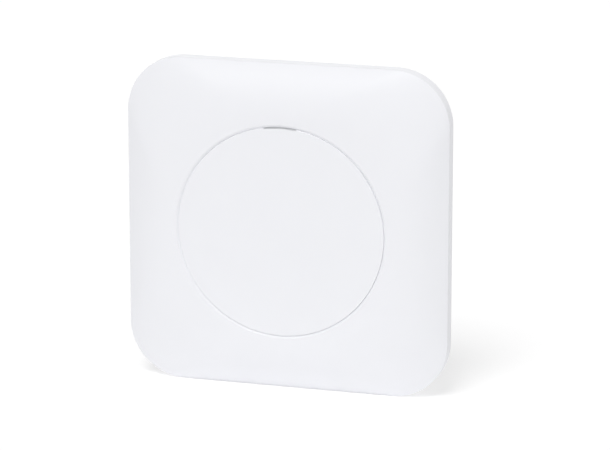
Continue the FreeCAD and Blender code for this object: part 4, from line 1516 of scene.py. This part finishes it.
@dataclass
class MainBoard:
    """The circuit board with its chips, power parts and heat sink."""

    mark_inset: float = 1.3
    mask: Colour = (0.008, 0.085, 0.035)
    over_copper: Colour = (0.016, 0.15, 0.06)
    tin: Colour = (0.72, 0.70, 0.62)
    laminate: Colour = (0.42, 0.38, 0.2)
    can: Colour = (0.78, 0.78, 0.79)
    cans: int = 2
    ferrite: FerriteBlock = FerriteBlock("ferrite_sintered", (0.035, 0.034, 0.036))
    pad: GapPad = GapPad("gap_pad_grey", (0.38, 0.40, 0.43))
    nylon: MouldedPlastic = MouldedPlastic(
        "pin_nylon_moulded", (0.72, 0.71, 0.66), roughness=0.35, grain=0.3
    )
    sink: RolledMetal = RolledMetal(
        "sink_extruded", (0.66, 0.67, 0.68), roughness=0.36, line=0.25, line_depth=0.003
    )

    def chips(self, node: str, pieces: int) -> Iterator[str]:
        """Dress equal chips side by side, each with a mark in its lower left corner.

        Args:
            node: The node that holds them.
            pieces: How many chips there are.

        Returns:
            The node's name, once it is dressed.
        """
        low, high = lying_box(node)
        half_y = (high[1] - low[1]) / 2
        half_x = (high[0] - low[0]) / 2 if pieces == 1 else half_y
        right, up = self.mark_inset - half_x, self.mark_inset - half_y
        marks = tuple((x + right, y + up) for x, y in middles(node, pieces))
        yield from dress(EpoxyPackage(f"{node}_epoxy", SOFT_BLACK, marks).make(), node)

    def build(self) -> Iterator[str]:
        """Dress the board and all that is soldered or pinned to it.

        Returns:
            Each piece's name, once it is dressed.
        """
        low, high = lying_box("main_board")
        colours = (self.mask, self.over_copper, self.tin, self.laminate)
        board = BoardMask("board_green_mask", *colours, half=high[0], low=low[1], high=high[1])
        yield from dress(board.make(), "main_board")
        for node, pieces in (("processor", 1), ("memory_chips", 2), ("radio_chips", 2)):
            yield from self.chips(node, pieces)
        yield from self.chips("ethernet_transformer", 1)
        yield from dress(self.ferrite.make(), "poe_transformer", "power_inductor")
        low, high = lying_box("capacitors")
        radius = (high[1] - low[1]) / 2
        places = middles("capacitors", self.cans)
        can = CapacitorCan("capacitor_can", self.can, SOFT_BLACK, places, radius)
        yield from dress(can.make(), "capacitors")
        yield from dress(self.pad.make(), "thermal_pad")
        yield from dress(self.sink.make(), "heat_sink")
        yield from dress(self.nylon.make(), "heat_sink_pins")


# ---------------------------------------------------------------- studio


@dataclass
class Lamp:
    """A large soft lamp far away, told by the direction that its light comes from."""

    name: str
    towards: Point
    strength: float
    spread: float

    def build(self) -> None:
        """Hang the lamp. Its strength is the share that it adds to a surface that faces it."""
        light = bpy.data.lights.new(self.name, "SUN")
        light.energy = self.strength * math.pi
        light.angle = math.radians(self.spread)
        lamp = bpy.data.objects.new(self.name, light)
        lamp.rotation_mode = "QUATERNION"
        lamp.rotation_quaternion = Vector(self.towards).to_track_quat("Z", "Y")
        bpy.context.scene.collection.objects.link(lamp)


@dataclass
class Studio:
    """The white table, the pale surroundings, the lamps and the camera, in metres and degrees."""

    floor_height: float
    floor_half: float = 8.0
    table: LightTable = LightTable("studio_table", (0.98, 0.98, 0.98))
    surroundings: float = 0.346
    lamps: list[Lamp] = field(
        default_factory=lambda: [
            Lamp("key_lamp", (-0.05, -0.55, 0.83), strength=0.511, spread=28.0),
            Lamp("fill_lamp", (0.7, -0.35, 0.62), strength=0.07, spread=70.0),
            Lamp("back_lamp", (0.0, 1.0, 0.3), strength=0.2, spread=70.0),
        ]
    )
    target: Point = (0.0114, -0.020, 0.0021)
    distance: float = 1.973
    azimuth: float = 16.7
    elevation: float = 14.4
    lens: float = 194.7
    sensor: float = 36.0

    def floor(self) -> None:
        """Lay the floor under the part."""
        turns = ((-1, -1), (1, -1), (1, 1), (-1, 1))
        corners = [(x * self.floor_half, y * self.floor_half, self.floor_height) for x, y in turns]
        mesh = bpy.data.meshes.new("studio_floor")
        mesh.from_pydata(corners, [], [(0, 1, 2, 3)])
        mesh.materials.append(self.table.make())
        floor = bpy.data.objects.new("studio_floor", mesh)
        bpy.context.scene.collection.objects.link(floor)

    def sky(self) -> None:
        """Surround the part with even, faint light that is plain white where it is seen."""
        world = bpy.data.worlds.new("studio_surroundings")
        bpy.context.scene.world = world
        shader = Shader(world)
        light = shader.glow(Glow.SURROUNDINGS, self.surroundings)
        white = shader.glow(Glow.SURROUNDINGS)
        shader.finish(shader.blend(shader.white_to_view(), light, white))

    def camera(self) -> None:
        """Set up the camera."""
        turn, rise = math.radians(self.azimuth), math.radians(self.elevation)
        level = math.cos(rise)
        back = Vector((math.sin(turn) * level, -math.cos(turn) * level, math.sin(rise)))
        data = bpy.data.cameras.new("studio_camera")
        data.sensor_width = self.sensor
        data.lens = self.lens
        camera = bpy.data.objects.new("studio_camera", data)
        camera.location = Vector(self.target) + back * self.distance
        camera.rotation_mode = "QUATERNION"
        camera.rotation_quaternion = (-back).to_track_quat("-Z", "Y")
        bpy.context.scene.collection.objects.link(camera)
        bpy.context.scene.camera = camera

    def build(self) -> None:
        """Set up the whole studio."""
        self.floor()
        self.sky()
        for lamp in self.lamps:
            lamp.build()
        self.camera()
        bpy.context.scene.view_settings.view_transform = "Standard"


def main() -> None:
    """Dress every sub-assembly in order and set up the studio."""
    logging.basicConfig(level=logging.INFO, format="%(message)s")
    low, high = lying_box("front_cover")
    slit = LightSlit()
    assemblies = (
        FrontCover(half=high[0], back=low[2], slit=slit),
        CentreCover(slit=slit, top=lying_box("centre_cover")[1][2]),
        LightPath(),
        RearShell(),
        CeilingBracket(),
        PortBay(),
        MainBoard(),
    )
    for assembly in assemblies:
        for piece in assembly.build():
            LOG.info("%s: %s", type(assembly).__name__, piece)
    Studio(floor_height=-high[0] * MM).build()


if __name__ == "__main__":
    main()
